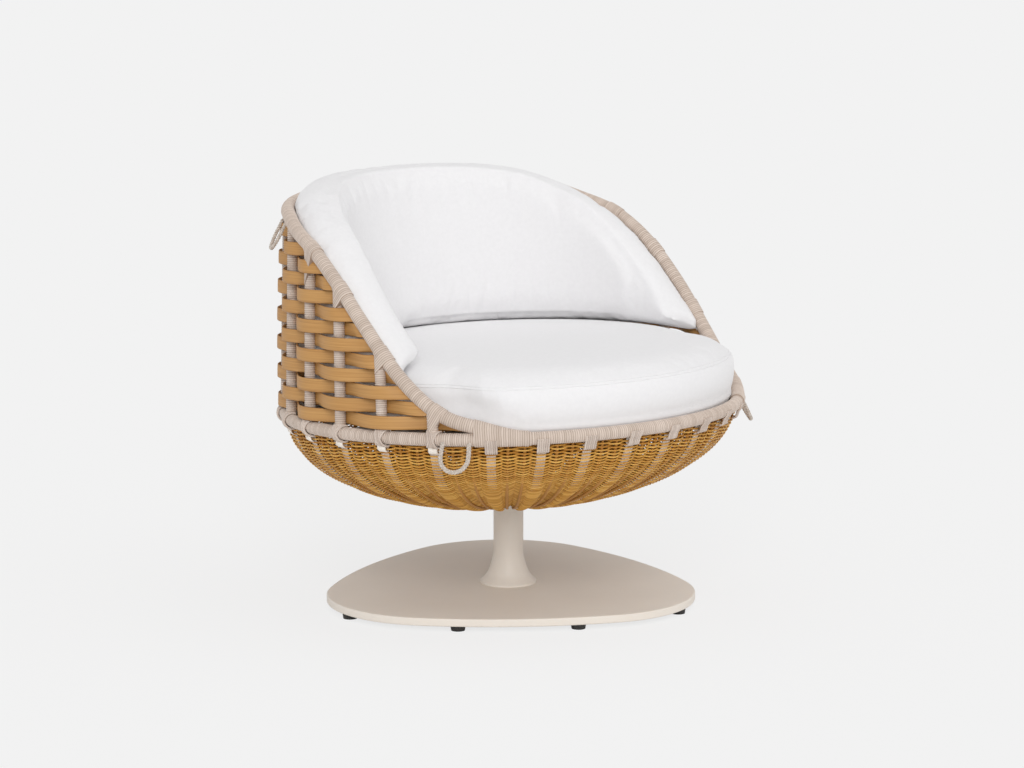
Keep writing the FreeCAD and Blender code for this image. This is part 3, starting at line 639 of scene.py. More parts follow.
for side_name, sign in (("right", 1), ("left", -1)):
    front, rear = sign * FRONT_LOOP, sign * REAR_LOOP
    rope_loop("braided_loop_front_" + side_name, front, on_ring(FRAME_RADIUS, front),
              "rope_loops_front")
    rope_loop("braided_loop_rear_" + side_name, rear, rim_point(rear), "rope_loops_rear",
              REAR_LOWER)

# %% [markdown]
# ## Winding a tube with cord
# A cord wound round a tube could be a helix, but three metres of tube would take hundreds
# of turns of it. The eye only sees rounded ridges side by side, so the tree samples the
# tube's middle line five times for each turn and lets the tube's radius rise and fall like
# the top of a round cord. Two attributes go along for the finish: how high the point is on
# its ridge, and a random tone for each turn.

# %% The winding tree
CORD_WIDTH, CORD_HEIGHT, CORD_SAMPLES = 0.0044, 0.0009, 5


def winding_tree():
    tree = tree_with("wind_cord", [
        ("Tube Radius", "NodeSocketFloat", 0.013), ("Cord Width", "NodeSocketFloat", CORD_WIDTH),
        ("Cord Height", "NodeSocketFloat", CORD_HEIGHT), ("Sides", "NodeSocketInt", 16),
        ("Seed", "NodeSocketInt", 3), ("Finish", "NodeSocketMaterial", None)])
    start, resample, spline, chance = add_nodes(
        tree, "NodeGroupInput", "GeometryNodeResampleCurve", "GeometryNodeSplineParameter",
        "FunctionNodeRandomValue")
    link = tree.links.new
    resample.mode = "LENGTH"
    link(start.outputs["Geometry"], resample.inputs["Curve"])
    step = math_node(tree, "DIVIDE", start.outputs["Cord Width"], CORD_SAMPLES)
    link(step, resample.inputs["Length"])
    phase = math_node(tree, "MULTIPLY", spline.outputs["Index"], math.pi / CORD_SAMPLES)
    crest = math_node(tree, "ABSOLUTE", math_node(tree, "SINE", phase))
    turn = math_node(tree, "DIVIDE", spline.outputs["Index"], CORD_SAMPLES)
    chance.data_type = "FLOAT"
    link(math_node(tree, "FLOOR", turn), chance.inputs["ID"])
    link(start.outputs["Seed"], chance.inputs["Seed"])
    crested = with_value(tree, resample.outputs[0], "cord_crest", crest)
    toned = with_value(tree, crested, "cord_tone", chance.outputs[1])
    lift = math_node(tree, "MULTIPLY", crest, start.outputs["Cord Height"])
    skin_along(tree, start, toned, math_node(tree, "ADD", start.outputs["Tube Radius"], lift))
    return tree


wind_cord = winding_tree()


def wound_tube(name, path, radius, sides, cyclic, seed):
    piece = curve_of(name, [path], cyclic)
    values = {"Tube Radius": radius - CORD_HEIGHT * 0.75, "Cord Height": CORD_HEIGHT,
              "Sides": sides, "Seed": seed, "Finish": wound_cord, "Cord Width": CORD_WIDTH}
    return apply_tree(piece, wind_cord, values, name)


# %% [markdown]
# ## The seat frame: ring, rim and poles
# The ring is a closed circle. The rim leaves it at the front on both sides, climbs, and
# runs round the back. The poles stand upright between them and are wound in the same way,
# so their ends run a little way into the tubes that they are bound to.

# %% Ring, rim and poles
RING_STEPS, RIM_STEPS = 720, 640
TUBE_SIDES, POLE_SIDES = 18, 14

ring_path = [on_ring(FRAME_RADIUS, 360.0 * i / RING_STEPS) for i in range(RING_STEPS)]
piece = wound_tube("wound_ring", ring_path, WAIST_TUBE, TUBE_SIDES, True, 1)
settle(piece, "seat", "wrapped_tube", "waist_ring")

rim_first = RIM_ANGLES[0]
rim_span = 360 - 2 * rim_first
rim_path = [rim_point(rim_first + rim_span * i / RIM_STEPS) for i in range(RIM_STEPS + 1)]
piece = wound_tube("wound_rim", rim_path, RIM_TUBE, TUBE_SIDES, False, 2)
settle(piece, "seat", "wrapped_tube", "rim")

pole_nodes = {}
for number, bay in enumerate(range(FIRST_POLE, LAST_POLE), 1):
    pole_nodes["pole_right_%d" % number] = pole_angle(bay)
    pole_nodes["pole_left_%d" % number] = -pole_angle(bay)
pole_nodes["pole_back"] = 180.0
for number, (node, angle) in enumerate(sorted(pole_nodes.items())):
    low, high = on_ring(FRAME_RADIUS, angle), rim_point(angle)
    path = [low.lerp(high, i / 4) for i in range(5)]
    piece = wound_tube("wound_" + node, path, POLE_TUBE, POLE_SIDES, False, 10 + number)
    settle(piece, "seat", "wrapped_tube", node)

# %% [markdown]
# ### Where tubes are bound together
# At the front the rim and the ring lie side by side under one winding, and at the tops of
# the four front poles on each side the rim's winding takes in the pole as well. Such a
# sleeve is the outline of a cord pulled tight round two tubes, repeated along them with the
# same ridges as the winding.

# %% Sleeves round two tubes
OUTLINE_POINTS = 28
OVER_TUBE = 0.001
FRONT_SLEEVE = (38.6, 51.5)
TOP_SLEEVE_LENGTH = 0.036
SLEEVED_POLES = 4


def tight_outline(round_a, round_b, across, down):
    """Points of a cord pulled round two ovals, each a centre with a reach across and down."""
    points = []
    for k in range(OUTLINE_POINTS):
        turn = 2 * math.pi * k / OUTLINE_POINTS
        c, s = math.cos(turn), math.sin(turn)
        places = []
        for centre, wide, deep in (round_a, round_b):
            length = math.hypot(wide * c, deep * s)
            place = centre + across * (wide * wide * c / length) + down * (deep * deep * s / length)
            places.append((centre.dot(across * c + down * s) + length, place))
        points.append(max(places, key=lambda found: found[0])[1])
    return points


def sleeve(name, outlines, seed, node):
    """Skins the outlines, as many to a turn as a winding has, and stores its two attributes."""
    chance = random.Random(seed)
    tones = [chance.random() for _ in range(len(outlines) // CORD_SAMPLES + 1)]
    verts, crests, cord_tones = [], [], []
    for i, outline in enumerate(outlines):
        crest = abs(math.sin(math.pi * i / CORD_SAMPLES))
        middle = sum(outline, Vector()) / OUTLINE_POINTS
        for point in outline:
            verts.append(point + (point - middle).normalized() * (CORD_HEIGHT * crest))
            crests.append(crest)
            cord_tones.append(tones[i // CORD_SAMPLES])
    piece = mesh_piece(name, verts, loft_faces(0, len(outlines), OUTLINE_POINTS), wound_cord)
    for label, values in (("cord_crest", crests), ("cord_tone", cord_tones)):
        piece.data.attributes.new(label, "FLOAT", "POINT").data.foreach_set("value", values)
    settle(piece, "seat", "wrapped_tube", node)


def tube_round(centre, radius):
    return centre, radius + OVER_TUBE, radius + OVER_TUBE


def front_sleeve(side, name):
    first, last = FRONT_SLEEVE
    outlines = []
    steps = int(FRAME_RADIUS * math.radians(last - first) / CORD_WIDTH * CORD_SAMPLES)
    for i in range(steps + 1):
        angle = side * (first + (last - first) * i / steps)
        ring = tube_round(on_ring(FRAME_RADIUS, angle), WAIST_TUBE)
        rim = tube_round(rim_point(angle), RIM_TUBE)
        outlines.append(tight_outline(ring, rim, polar(1.0, angle), UP))
    sleeve(name, outlines, 40 + side, "rim")


def pole_sleeve(angle, name, node):
    top, foot = rim_point(angle), on_ring(FRAME_RADIUS, angle)
    rise = (top - foot).normalized()
    sign = math.copysign(1, angle)
    uphill = rim_point(angle + 0.5 * sign) - rim_point(angle - 0.5 * sign)
    per_degree = uphill.length
    uphill.normalize()
    climb = rise.dot(uphill)
    deep = min(POLE_TUBE / climb * 0.9, RIM_TUBE)
    down = (uphill * climb - rise).normalized()
    across = uphill.cross(down)
    longest = ((top - foot).length - WAIST_TUBE) * climb
    outlines = []
    for i in range(int(min(TOP_SLEEVE_LENGTH, longest) / CORD_WIDTH * CORD_SAMPLES) + 1):
        along = -i * CORD_WIDTH / CORD_SAMPLES
        rim = tube_round(rim_point(angle + along / per_degree * sign), RIM_TUBE)
        pole = (top + rise * (along / climb), POLE_TUBE + OVER_TUBE, deep)
        outlines.append(tight_outline(rim, pole, across, down))
    sleeve(name, outlines, int(abs(angle)), node)


for side, side_name in ((1, "right"), (-1, "left")):
    front_sleeve(side, "front_sleeve_" + side_name)
    for number in range(SLEEVED_POLES):
        label = "%s_%d" % (side_name, number + 1)
        pole_sleeve(side * pole_angle(FIRST_POLE + number), "top_sleeve_" + label, "pole_" + label)

# %% [markdown]
# ## Straps
# Thirteen flat straps run round the back, each outside one pole and inside the next, and
# the row above the other way round. A strap bends smoothly like a wave, it never kinks, so
# its middle line swings in and out with the cosine of its place between two poles. Its
# section is a thin slab with rounded edges and a slightly crowned face.

# %% Strap rows
STRAP_WIDTH = 0.027
STRAP_THICK = 0.003
STRAP_PITCH = 0.029
STRAP_ROWS = 13
FIRST_STRAP = 0.0295
SWING = POLE_TUBE + 0.0006 + STRAP_THICK / 2
STEPS_PER_STRAP_BAY, END_STEPS = 14, 8
STRAP_DRIFT = 0.0003
TUCK_DEGREES = 5.0
BACK_SHIFT = 0.1
UNDER_RIM = 0.6 * RIM_TUBE


def strap_end(height):
    """The angle at which a line along a strap runs into the underside of the falling rim."""
    low, high = RIM_ANGLES[0], 180
    for _ in range(30):
        middle = (low + high) / 2
        slope = math.atan2(rim_height(middle + 0.5) - rim_height(middle - 0.5),
                           2 * FRAME_RADIUS * math.radians(0.5))
        if rim_height(middle) - UNDER_RIM / math.cos(slope) > height:
            high = middle
        else:
            low = middle
    return high


def strap_section():
    """Places round the section: across the strap, outwards, and where edge shade is painted."""
    half, thick = STRAP_WIDTH / 2, STRAP_THICK / 2
    soft = 0.0011
    side = [(-half + soft, thick * 0.92, 0.8), (-half * 0.5, thick * 1.04, 0.0),
            (0.0, thick * 1.1, 0.0), (half * 0.5, thick * 1.04, 0.0),
            (half - soft, thick * 0.92, 0.8), (half - soft * 0.3, thick * 0.55, 1.0),
            (half, 0.0, 1.0)]
    return side + [(-width, -out, mark) for width, out, mark in side]


def make_strap(row):
    height = FIRST_STRAP + STRAP_PITCH * row
    section = strap_section()
    ends = [strap_end(height + width) for width, _, _ in section]
    first = max(ends) + 2.0
    middle_steps = int((BAYS - 2 * place_at(first)) * STEPS_PER_STRAP_BAY)
    count = middle_steps + 2 * END_STEPS
    chance = random.Random(100 + row)
    drift = [chance.uniform(-1, 1) for _ in range(8)]
    verts, uvs, marks = [], [], []
    bay = 2 * math.pi * FRAME_RADIUS / BAYS
    parity = -1 if row % 2 else 1
    for i in range(count + 1):
        for (width, thick, mark), own_end in zip(section, ends):
            if i < END_STEPS:
                angle = own_end + (first - own_end) * i / END_STEPS
            elif i > count - END_STEPS:
                angle = 360 - own_end - (first - own_end) * (count - i) / END_STEPS
            else:
                angle = first + (360 - 2 * first) * (i - END_STEPS) / middle_steps
            phase = place_at(angle)
            tuck = min(max((min(angle, 360 - angle) - own_end) / TUCK_DEGREES, 0.0), 1.0)
            tuck = tuck * tuck * (3 - 2 * tuck)
            swing = SWING * parity * math.cos(math.pi * phase) * tuck
            turn = math.radians(angle)
            dip = STRAP_DRIFT * sum(d * math.sin(turn * (k + 2) + k) for k, d in enumerate(drift))
            out = polar(1.0, angle)
            middle = on_ring(FRAME_RADIUS + swing, angle, height + dip)
            tilt = -SWING * parity * math.sin(math.pi * phase) * math.pi / bay * tuck
            ahead = (polar(1.0, angle + 90) + out * tilt).normalized()
            rise = wall_rise(angle, 1.0).normalized()
            normal = ahead.cross(rise)
            normal *= math.copysign(1, normal.dot(out))
            verts.append(middle + rise * width + normal * thick)
            uvs.append((turn * FRAME_RADIUS, width + (BACK_SHIFT if thick < 0 else 0.0) + row))
            marks.append(mark)
    faces = loft_faces(0, count + 1, len(section), turned=True)
    piece = mesh_piece("woven_strap_%02d" % (row + 1), verts, faces, ochre_strap)
    mesh = piece.data
    layer = mesh.uv_layers.new(name="strap")
    loops = np.zeros(len(mesh.loops), np.int32)
    mesh.loops.foreach_get("vertex_index", loops)
    layer.data.foreach_set("uv", np.array(uvs, np.float32)[loops].ravel())
    mesh.attributes.new("strap_edge", "FLOAT", "POINT").data.foreach_set("value", marks)
    settle(piece, "seat", "ochre_strap", "strap_row_%02d" % (row + 1))


for row in range(STRAP_ROWS):
    make_strap(row)

# %% [markdown]
# ## The woven bowl
# The bowl is a basket. Twenty-eight flat pale stakes come down from the ring, with two thin
# round ones between each pair, 84 in all. Each row of strand is a closed ring that goes
# over one stake and under the next, and the row below does the opposite, which is what
# locks the weave. The rule fits in a few lines: a row follows the bowl's rounded profile
# and is pushed out or in at each stake. The tree then gives every row its round skin.

# %% Bowl profile and stakes
BOWL_RADIUS = 0.4595
BOWL_DEPTH = 0.2035
BOWL_POWER = 2.1
FOOT_LEAN = 0.0982
LOBE, LOBE_FROM, LOBE_OVER = 0.009, 0.06, 0.08
BOWL_HOLE = 0.080
STRAND = 0.0034
ROW_PITCH = 0.0036
STAKE_OUT = 0.0048
FLAT_HALF = 0.0085
WANDER = 0.00022


def bowl_at(turn):
    """Radius and drop of the bowl's middle surface."""
    power = 2 / BOWL_POWER
    return BOWL_RADIUS * math.cos(turn) ** power, -BOWL_DEPTH * math.sin(turn) ** power


def bowl_rows(first_drop, pitch, hole):
    """Rows at equal steps along the profile: radius, drop and the outward normal."""
    first = math.asin((first_drop / BOWL_DEPTH) ** (BOWL_POWER / 2))
    last = math.acos((hole / BOWL_RADIUS) ** (BOWL_POWER / 2))
    turns = np.linspace(first, last, 4000)
    flat = np.array([bowl_at(t) for t in turns])
    steps = np.hypot(*np.diff(flat, axis=0).T)
    length = np.concatenate([[0], np.cumsum(steps)])
    places = np.arange(0, length[-1], pitch)
    radius = np.interp(places, length, flat[:, 0])
    drop = np.interp(places, length, flat[:, 1])
    ahead = np.gradient(np.stack([radius, drop], 1), axis=0)
    ahead /= np.linalg.norm(ahead, axis=1)[:, None]
    normal = np.stack([-ahead[:, 1], ahead[:, 0]], 1)
    return radius, drop, normal


row_radius, row_drop, row_normal = bowl_rows(0.0165, ROW_PITCH, BOWL_HOLE)
strand_length = float(2 * math.pi * row_radius.sum())
print("bowl rows", len(row_radius), "length of strand", round(strand_length, 1), "m")

# %% [markdown]
# A hand-woven bowl is never quite even. Each row gets a slow random wander along the profile.

# %% Strand rows
STEPS_PER_BAY = 15


def weave_offset(share, parity, radius):
    """In or out at a place in a bay, which holds the flat stake at 0 and round ones at thirds."""
    bay_length = 2 * math.pi * radius / BAYS
    half = min(FLAT_HALF / bay_length, 0.1)
    stops = [(-1 / 3, -1), (-half, 1), (half, 1), (1 / 3, -1), (2 / 3, 1), (1 - half, -1),
             (1 + half, -1)]
    for (a, s), (b, t) in zip(stops, stops[1:]):
        if a <= share <= b:
            smooth = 0.5 - 0.5 * math.cos(math.pi * (share - a) / (b - a))
            return parity * (s + (t - s) * smooth)
    return -parity


def tipped(radius, angle, drop):
    """A point of the bowl, which leans back towards its foot and is tipped with the ring."""
    p = polar(radius, angle)
    y = p.y - drop * FOOT_LEAN
    return Vector((p.x, y * math.cos(RAKE) + drop * math.sin(RAKE) - SEAT_FORWARD,
                   WAIST_HEIGHT - y * math.sin(RAKE) + drop * math.cos(RAKE)))


def strand_path(row, chance):
    radius, drop = float(row_radius[row]), float(row_drop[row])
    normal = row_normal[row]
    reach = STAKE_OUT * min(1.0, radius / 0.22 + 0.25)
    lobe = LOBE * min(max((-drop - LOBE_FROM) / LOBE_OVER, 0.0), 1.0)
    wander = [(chance.uniform(-1, 1), chance.randint(2, 40), chance.uniform(0, 6.3))
              for _ in range(6)]
    points = []
    for step in range(BAYS * STEPS_PER_BAY):
        bay, part = divmod(step, STEPS_PER_BAY)
        share = part / STEPS_PER_BAY
        parity = 1 if (bay + row) % 2 == 0 else -1
        out = reach * weave_offset(share, parity, radius) - lobe * math.sin(math.pi * share) ** 2
        angle = pole_angle(bay + share)
        slide = WANDER * sum(a * math.sin(k * math.radians(angle) + p) for a, k, p in wander)
        r = radius + out * normal[0] - slide * normal[1]
        z = drop + out * normal[1] + slide * normal[0]
        points.append(tuple(tipped(r, angle, z)))
    return points


row_chance = random.Random(7)
strand_paths = [strand_path(row, row_chance) for row in range(len(row_radius))]
strand_tones = [row_chance.random() for _ in strand_paths]
quarters = 4
for part in range(quarters):
    low, high = (len(strand_paths) * turn // quarters for turn in (part, part + 1))
    piece = skin_paths("bowl_strands_%d" % (part + 1), strand_paths[low:high], STRAND / 2,
                       ochre_strand, 5, True, strand_tones[low:high])
    settle(piece, "seat", "ochre_strand", "bowl_weave")

# %% [markdown]
# The stakes lie in the middle of the weave. The flat ones are pale laths with rounded
# edges, made as a lofted strip down the profile. The round ones are ochre like the strands
# and end where the bowl narrows and there is no more room for them.

# %% Stakes
FLAT_STAKE_END, ROUND_STAKE_END = 0.098, 0.150
ROUND_STAKE = 0.0032


def flat_stake(verts, faces, angle):
    radius, drop, normal = bowl_rows(0.009, 0.012, FLAT_STAKE_END)
    side = polar(1.0, angle + 90)
    half, thick, soft = 0.0092, 0.0018, 0.0011
    section = [(-half, -thick + soft), (-half + soft, -thick), (half - soft, -thick),
               (half, -thick + soft)]
    section += [(-across, -out) for across, out in section]
    base = len(verts)
    for r, z, n in zip(radius, drop, normal):
        for across, out in section:
            verts.append(tipped(r + out * n[0], angle, z + out * n[1]) + side * across)
    faces += loft_faces(base, len(radius), len(section))


verts, faces = [], []
for bay in range(BAYS):
    flat_stake(verts, faces, pole_angle(bay))
stakes = mesh_piece("flat_stakes", verts, faces, pale_stake)
settle(stakes, "seat", "wrapped_tube", "bowl_ribs")

round_paths = []
radius, drop, _ = bowl_rows(0.014, 0.010, ROUND_STAKE_END)
for bay in range(BAYS):
    for share in (1 / 3, 2 / 3):
        round_paths.append([tipped(r, pole_angle(bay + share), z) for r, z in zip(radius, drop)])
piece = skin_paths("round_stakes", round_paths, ROUND_STAKE, ochre_stake, 6)
settle(piece, "seat", "ochre_strand", "bowl_weave")

# %% [markdown]
# ### Lashings at the ring
# At each pole's foot two bands of three cords cross over the ring. At the front, where
# there are no poles, cords run down from the ring over the head of each stake, and the
# heads of the other stakes show bare just below it.

# %% Lashings, tabs and stake heads
LASH_STEPS = 16
LASH_TURN = 112
LASH_SPREAD = 0.0105
LASH_OVER = {1: 0.0024, -1: 0.0042}
LASH_CORD, TAB_CORD = 0.0021, 0.0022
CORD_STEP = 0.0041
lashes, tabs = [], []
for angle in pole_nodes.values():
    for lean in (1, -1):
        for cord in (-1, 0, 1):
            path = []
            reach = WAIST_TUBE + LASH_OVER[lean]
            for step in range(LASH_STEPS + 1):
                part = 1 - 2 * step / LASH_STEPS
                round_tube = math.radians(LASH_TURN * part)
                along = lean * LASH_SPREAD * part + cord * CORD_STEP
                turn = angle + math.degrees(along / FRAME_RADIUS)
                out = polar(1.0, turn) * (reach * math.cos(round_tube))
                up = UP * (reach * math.sin(round_tube))
                path.append(on_ring(FRAME_RADIUS, turn) + out + up)
            lashes.append(path)
TAB_ROUTE = [(0.0145, 0.0), (0.0135, -0.0065), (0.0098, -0.012), (0.0062, -0.0165),
             (0.0048, -0.0215), (0.0030, -0.0265), (-0.003, -0.0285)]
for bay in range(1 - FIRST_POLE, FIRST_POLE):
    angle = math.copysign(pole_angle(abs(bay)), bay)
    for cord in range(6):
        turn = angle + math.degrees((cord - 2.5) * CORD_STEP / FRAME_RADIUS)
        tabs.append([on_ring(FRAME_RADIUS + out, turn) + UP * drop for out, drop in TAB_ROUTE])
shades = random.Random(21)
for name, paths, radius in (("ring_lashings", lashes, LASH_CORD), ("stake_tabs", tabs, TAB_CORD)):
    tones = [shades.random() for _ in paths]
    piece = skin_paths(name, paths, radius, lashing_cord, 7, False, tones)
    settle(piece, "seat", "wrapped_tube", "waist_ring")

HEAD_ROUTE = [(0.0, -0.0125), (0.0040, -0.016), (0.0046, -0.020), (0.0030, -0.0255),
              (-0.004, -0.030)]
HEAD_SECTION = [(-0.0094, -0.002), (0.0094, -0.002), (0.0094, 0.0006), (0.0078, 0.002),
                (-0.0078, 0.002), (-0.0094, 0.0006)]
verts, faces = [], []
for bay in range(FIRST_POLE, BAYS - FIRST_POLE + 1):
    angle = pole_angle(bay)
    side = polar(1.0, angle + 90)
    base = len(verts)
    for out, drop in HEAD_ROUTE:
        for across, thick in HEAD_SECTION:
            verts.append(on_ring(FRAME_RADIUS + out + thick, angle) + UP * drop + side * across)
    faces += loft_faces(base, len(HEAD_ROUTE), len(HEAD_SECTION))
heads = mesh_piece("stake_heads", verts, faces, pale_stake)
settle(heads, "seat", "wrapped_tube", "bowl_ribs")

# %% [markdown]
# ## The cushions
# A cushion is cloth drawn tight over foam. The frame's solid already has the stuffed
# outline, so it is remeshed into an even skin, drawn in a little, and blown up again as
# cloth under pressure, with a cap on how far any point may go. That rounds the edges and
# gives the slight swell that a sewn cover has. Then each is eased towards the frame that it
# lies against, and kept clear of its tubes.

# %% Cloth under pressure
def even_skin(name, node, voxel):
    """A remeshed, smoothed copy of the node's solid."""
    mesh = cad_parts[node].data.copy()
    face_outwards(mesh, join_within=0.00005)
    piece = placed(name, mesh)
    remesh = piece.modifiers.new("remesh", "REMESH")
    remesh.mode = "VOXEL"
    remesh.voxel_size = voxel
    smooth = piece.modifiers.new("smooth", "SMOOTH")
    smooth.factor = 0.5
    smooth.iterations = 6
    skin = evaluated_mesh(piece)
    print(name, len(skin.vertices), "points")
    return placed(name, skin)


def vectors(items, label):
    flat = np.zeros(len(items) * 3)
    items.foreach_get(label, flat)
    return flat.reshape(-1, 3)


def points_of(mesh):
    return vectors(mesh.vertices, "co")


def normals_of(mesh):
    return vectors(mesh.vertex_normals, "vector")


def set_points(mesh, points):
    mesh.vertices.foreach_set("co", points.ravel())
    mesh.update()


def puff(piece, draw_in, cap, frames):
    """Draws the skin in, blows it up as cloth, and caps each point's move from the start."""
    mesh = piece.data
    start = points_of(mesh)
    set_points(mesh, start - normals_of(mesh) * draw_in)
    drawn = points_of(mesh)
    cloth = piece.modifiers.new("cloth", "CLOTH")
    settings = cloth.settings
    settings.quality = 5
    settings.use_pressure = True
    settings.uniform_pressure_force = 4.0
    settings.effector_weights.gravity = 0.0
    cloth.collision_settings.use_collision = False
    scene = bpy.context.scene
    for number in range(frames):
        scene.frame_set(number + 1)
    evaluated = piece.evaluated_get(bpy.context.evaluated_depsgraph_get())
    puffed = points_of(evaluated.data)
    piece.modifiers.remove(cloth)
    scene.frame_set(1)
    move = puffed - drawn
    size = np.linalg.norm(move, axis=1)
    capped = np.minimum(size, cap)
    move *= (capped / np.maximum(size, 1e-9))[:, None]
    set_points(mesh, drawn + move)
    print(piece.name, "moved", round(float(capped.mean()) * 1000, 1), "mm on average")


RIM_TURNS = np.linspace(0, 180, 361)
RIM_LEVELS = np.array([rim_height(turn) for turn in RIM_TURNS])
RING_LEVELS = np.zeros(len(RIM_TURNS))
CLEAR = 0.0022


def soft_step(values, low, high):
    share = np.clip((values - low) / (high - low), 0, 1)
    return share * share * (3 - 2 * share)


def wall_place(points):
    """Where points lie against the wall: turn, height over the ring, inset, and the way out."""
    x, y, z = points[:, 0], points[:, 1] + SEAT_FORWARD, points[:, 2] - WAIST_HEIGHT
    height = (z + y * math.tan(RAKE)) / (1 + WALL_BACK * math.tan(RAKE))
    y = y - WALL_BACK * height
    reach = np.hypot(x, y)
    out = np.stack([x / reach, y / reach, np.zeros(len(x))], 1)
    turn = np.degrees(np.arccos(np.clip(-out[:, 1], -1, 1)))
    return turn, height, FRAME_RADIUS - reach - WALL_IN * height, out


def over_tube(turn, height, levels=RIM_LEVELS):
    return height - np.interp(turn, RIM_TURNS, levels)


def keep_off(points, levels, reach):
    """Moves points out of a tube that runs round the wall at the given levels."""
    turn, height, inset, out = wall_place(points)
    over = over_tube(turn, height, levels)
    away = np.hypot(inset, over)
    push = np.maximum(reach - away, 0) / np.maximum(away, 1e-4)
    points -= out * (push * inset)[:, None]
    points[:, 2] += push * over


def lean_on_frame(piece, outward, upward, strap_inset=0.0175):
    """Lets the cushion swell against the straps and over the rim, and keeps it clear of both."""
    points = points_of(piece.data)
    turn, height, inset, out = wall_place(points)
    over = over_tube(turn, height)
    near = 1 - soft_step(inset, 0.02, 0.075)
    points += out * (outward * near * (0.45 + 0.55 * soft_step(over, -0.05, 0.0)))[:, None]
    points[:, 2] += upward * soft_step(over, -0.03, 0.03)
    turn, height, inset, out = wall_place(points)
    below_rim = 1 - soft_step(over_tube(turn, height), -0.012, 0.0)
    points -= out * (np.maximum(strap_inset - inset, 0) * below_rim)[:, None]
    keep_off(points, RIM_LEVELS, RIM_TUBE + CLEAR)
    set_points(piece.data, points)


def fill_sides(piece, low_edge, sink=0.014):
    """Squares the seat cushion's lower edge over the ring, as a boxed cushion's is."""
    points = points_of(piece.data)
    turn, height, inset, out = wall_place(points)
    front = 1 - soft_step(turn, 80, 100)
    outer = (1 - soft_step(inset, 0.03, 0.07)) * front
    low = 1 - soft_step(height, 0.03, 0.07)
    points += out * (np.maximum(inset - low_edge, 0) * 0.85 * outer * low)[:, None]
    points[:, 2] -= sink * outer * low
    keep_off(points, RIM_LEVELS, RIM_TUBE + CLEAR)
    keep_off(points, RING_LEVELS, WAIST_TUBE + CLEAR)
    set_points(piece.data, points)


VOXEL = 0.007
seat_cushion = even_skin("seat_cushion_cover", "seat_cushion", VOXEL)
back_cushion = even_skin("back_cushion_cover", "back_cushion", VOXEL)
for cushion in (seat_cushion, back_cushion):
    puff(cushion, draw_in=0.006, cap=0.008, frames=18)
fill_sides(seat_cushion, 0.004)
lean_on_frame(back_cushion, 0.012, 0.012)
for cushion in (seat_cushion, back_cushion):
    cushion.data.shade_smooth()
    cushion.data.materials.clear()
    cushion.data.materials.append(white_cloth)

# %% [markdown]
# A fine double seam runs round the front of the seat cushion, just below its top edge.
# Rays shot inwards at that height find the cover, and two thin threads lie on it.

# %% Seam threads
SEAM_HEIGHTS = (0.094, 0.099)
SEAM_HALF_TURN = 88
THREAD = 0.0009


def thread_round(cushion, height, steps=160):
    tree = BVHTree.FromPolygons([v.co.copy() for v in cushion.data.vertices],
                                [tuple(f.vertices) for f in cushion.data.polygons])
    path = []
    for i in range(steps + 1):
        angle = SEAM_HALF_TURN * (2 * i / steps - 1)
        start = polar(1.0, angle) + Vector((0, -SEAT_FORWARD, WAIST_HEIGHT + height))
        start.z += FRAME_RADIUS * math.cos(math.radians(angle)) * math.tan(RAKE)
        hit = tree.ray_cast(start, -polar(1.0, angle))[0]
        if hit is not None:
            path.append(hit + polar(1.0, angle) * 0.0002)
    return path


threads = [thread_round(seat_cushion, height) for height in SEAM_HEIGHTS]
seams = skin_paths("seat_seam_threads", threads, THREAD, white_cloth, 6, False, [0.5, 0.5])
settle(seams, "seat", "white_cloth", "seat_cushion")

# %% Seat the cushions on the frame
settle(seat_cushion, "seat", "white_cloth", "seat_cushion")
settle(back_cushion, "seat", "white_cloth", "back_cushion")

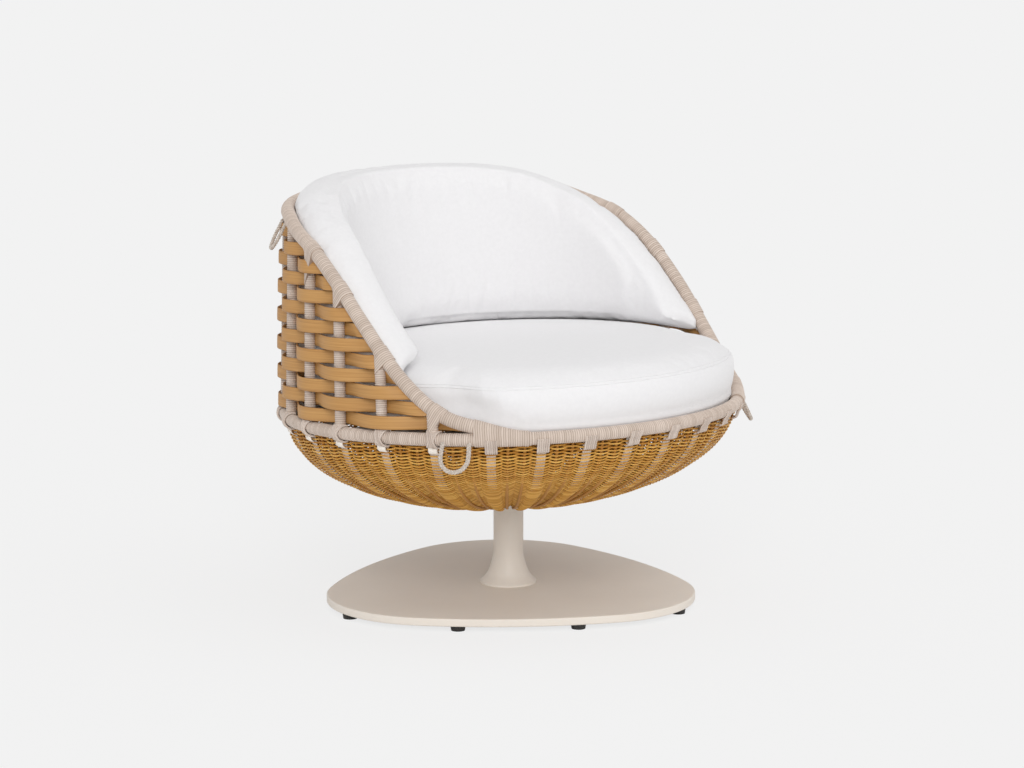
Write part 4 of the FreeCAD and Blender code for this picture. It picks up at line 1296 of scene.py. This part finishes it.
# %% [markdown]
# ## Floor and light
# The chair stands on a plain pale floor that runs far back, under an even pale sky. A low
# broad lamp on the camera's side reaches the column under the bowl, and a weaker one shines
# from high on the other side. Floor and sky come out the same light grey for the camera,
# and the floor keeps a faint shadow.

# %% Floor
BACKGROUND = linear(242, 242, 242)


def plain_glow(tree, kind):
    """The even grey that the camera sees behind and under the chair."""
    made = tree.nodes.new(kind)
    made.inputs[0].default_value = BACKGROUND
    made.inputs[1].default_value = 1.0
    return made.outputs[0]


def mixed(tree, *sources):
    made = tree.nodes.new("ShaderNodeMixShader")
    for source, target in zip(sources, made.inputs):
        tree.links.new(source, target)
    return made.outputs[0]


def pale_floor():
    f = Finish("pale_floor", linear(251, 251, 251), 0.9)
    f.shader.inputs["Specular IOR Level"].default_value = 0.0
    f.bump(f.noise(300, 2), 0.02, 0.0005)
    share = f.math("MULTIPLY", f.node("ShaderNodeLightPath").outputs["Is Camera Ray"], 0.85)
    both = mixed(f.tree, share, f.shader.outputs[0], plain_glow(f.tree, "ShaderNodeEmission"))
    f.link(both, next(n for n in f.tree.nodes if n.type == "OUTPUT_MATERIAL").inputs[0])
    return f.material


REACH = 30
corners = [(-REACH, -REACH, 0), (REACH, -REACH, 0), (REACH, REACH, 0), (-REACH, REACH, 0)]
floor = mesh_piece("floor", corners, [(0, 1, 2, 3)], pale_floor(), False)

# %% Light
world = bpy.data.worlds.new("studio")
world.use_nodes = True
bpy.context.scene.world = world
tree = world.node_tree
sky = tree.nodes["Background"]
sky.inputs[0].default_value = WHITE
sky.inputs[1].default_value = 0.62
rays = tree.nodes.new("ShaderNodeLightPath").outputs
straight = math_node(tree, "MAXIMUM", rays["Is Camera Ray"], rays["Is Transmission Ray"])
both = mixed(tree, straight, sky.outputs[0], plain_glow(tree, "ShaderNodeBackground"))
tree.links.new(both, tree.nodes["World Output"].inputs[0])

for name, energy, spread, way in (("front_lamp", 1.15, 30, (0.62, 0.68, -0.50)),
                                  ("high_lamp", 0.45, 60, (-0.35, 0.45, -1.0))):
    lamp = bpy.data.lights.new(name, "SUN")
    lamp.energy = energy
    lamp.angle = math.radians(spread)
    placed(name, lamp).rotation_euler = Vector(way).to_track_quat("-Z", "Y").to_euler()
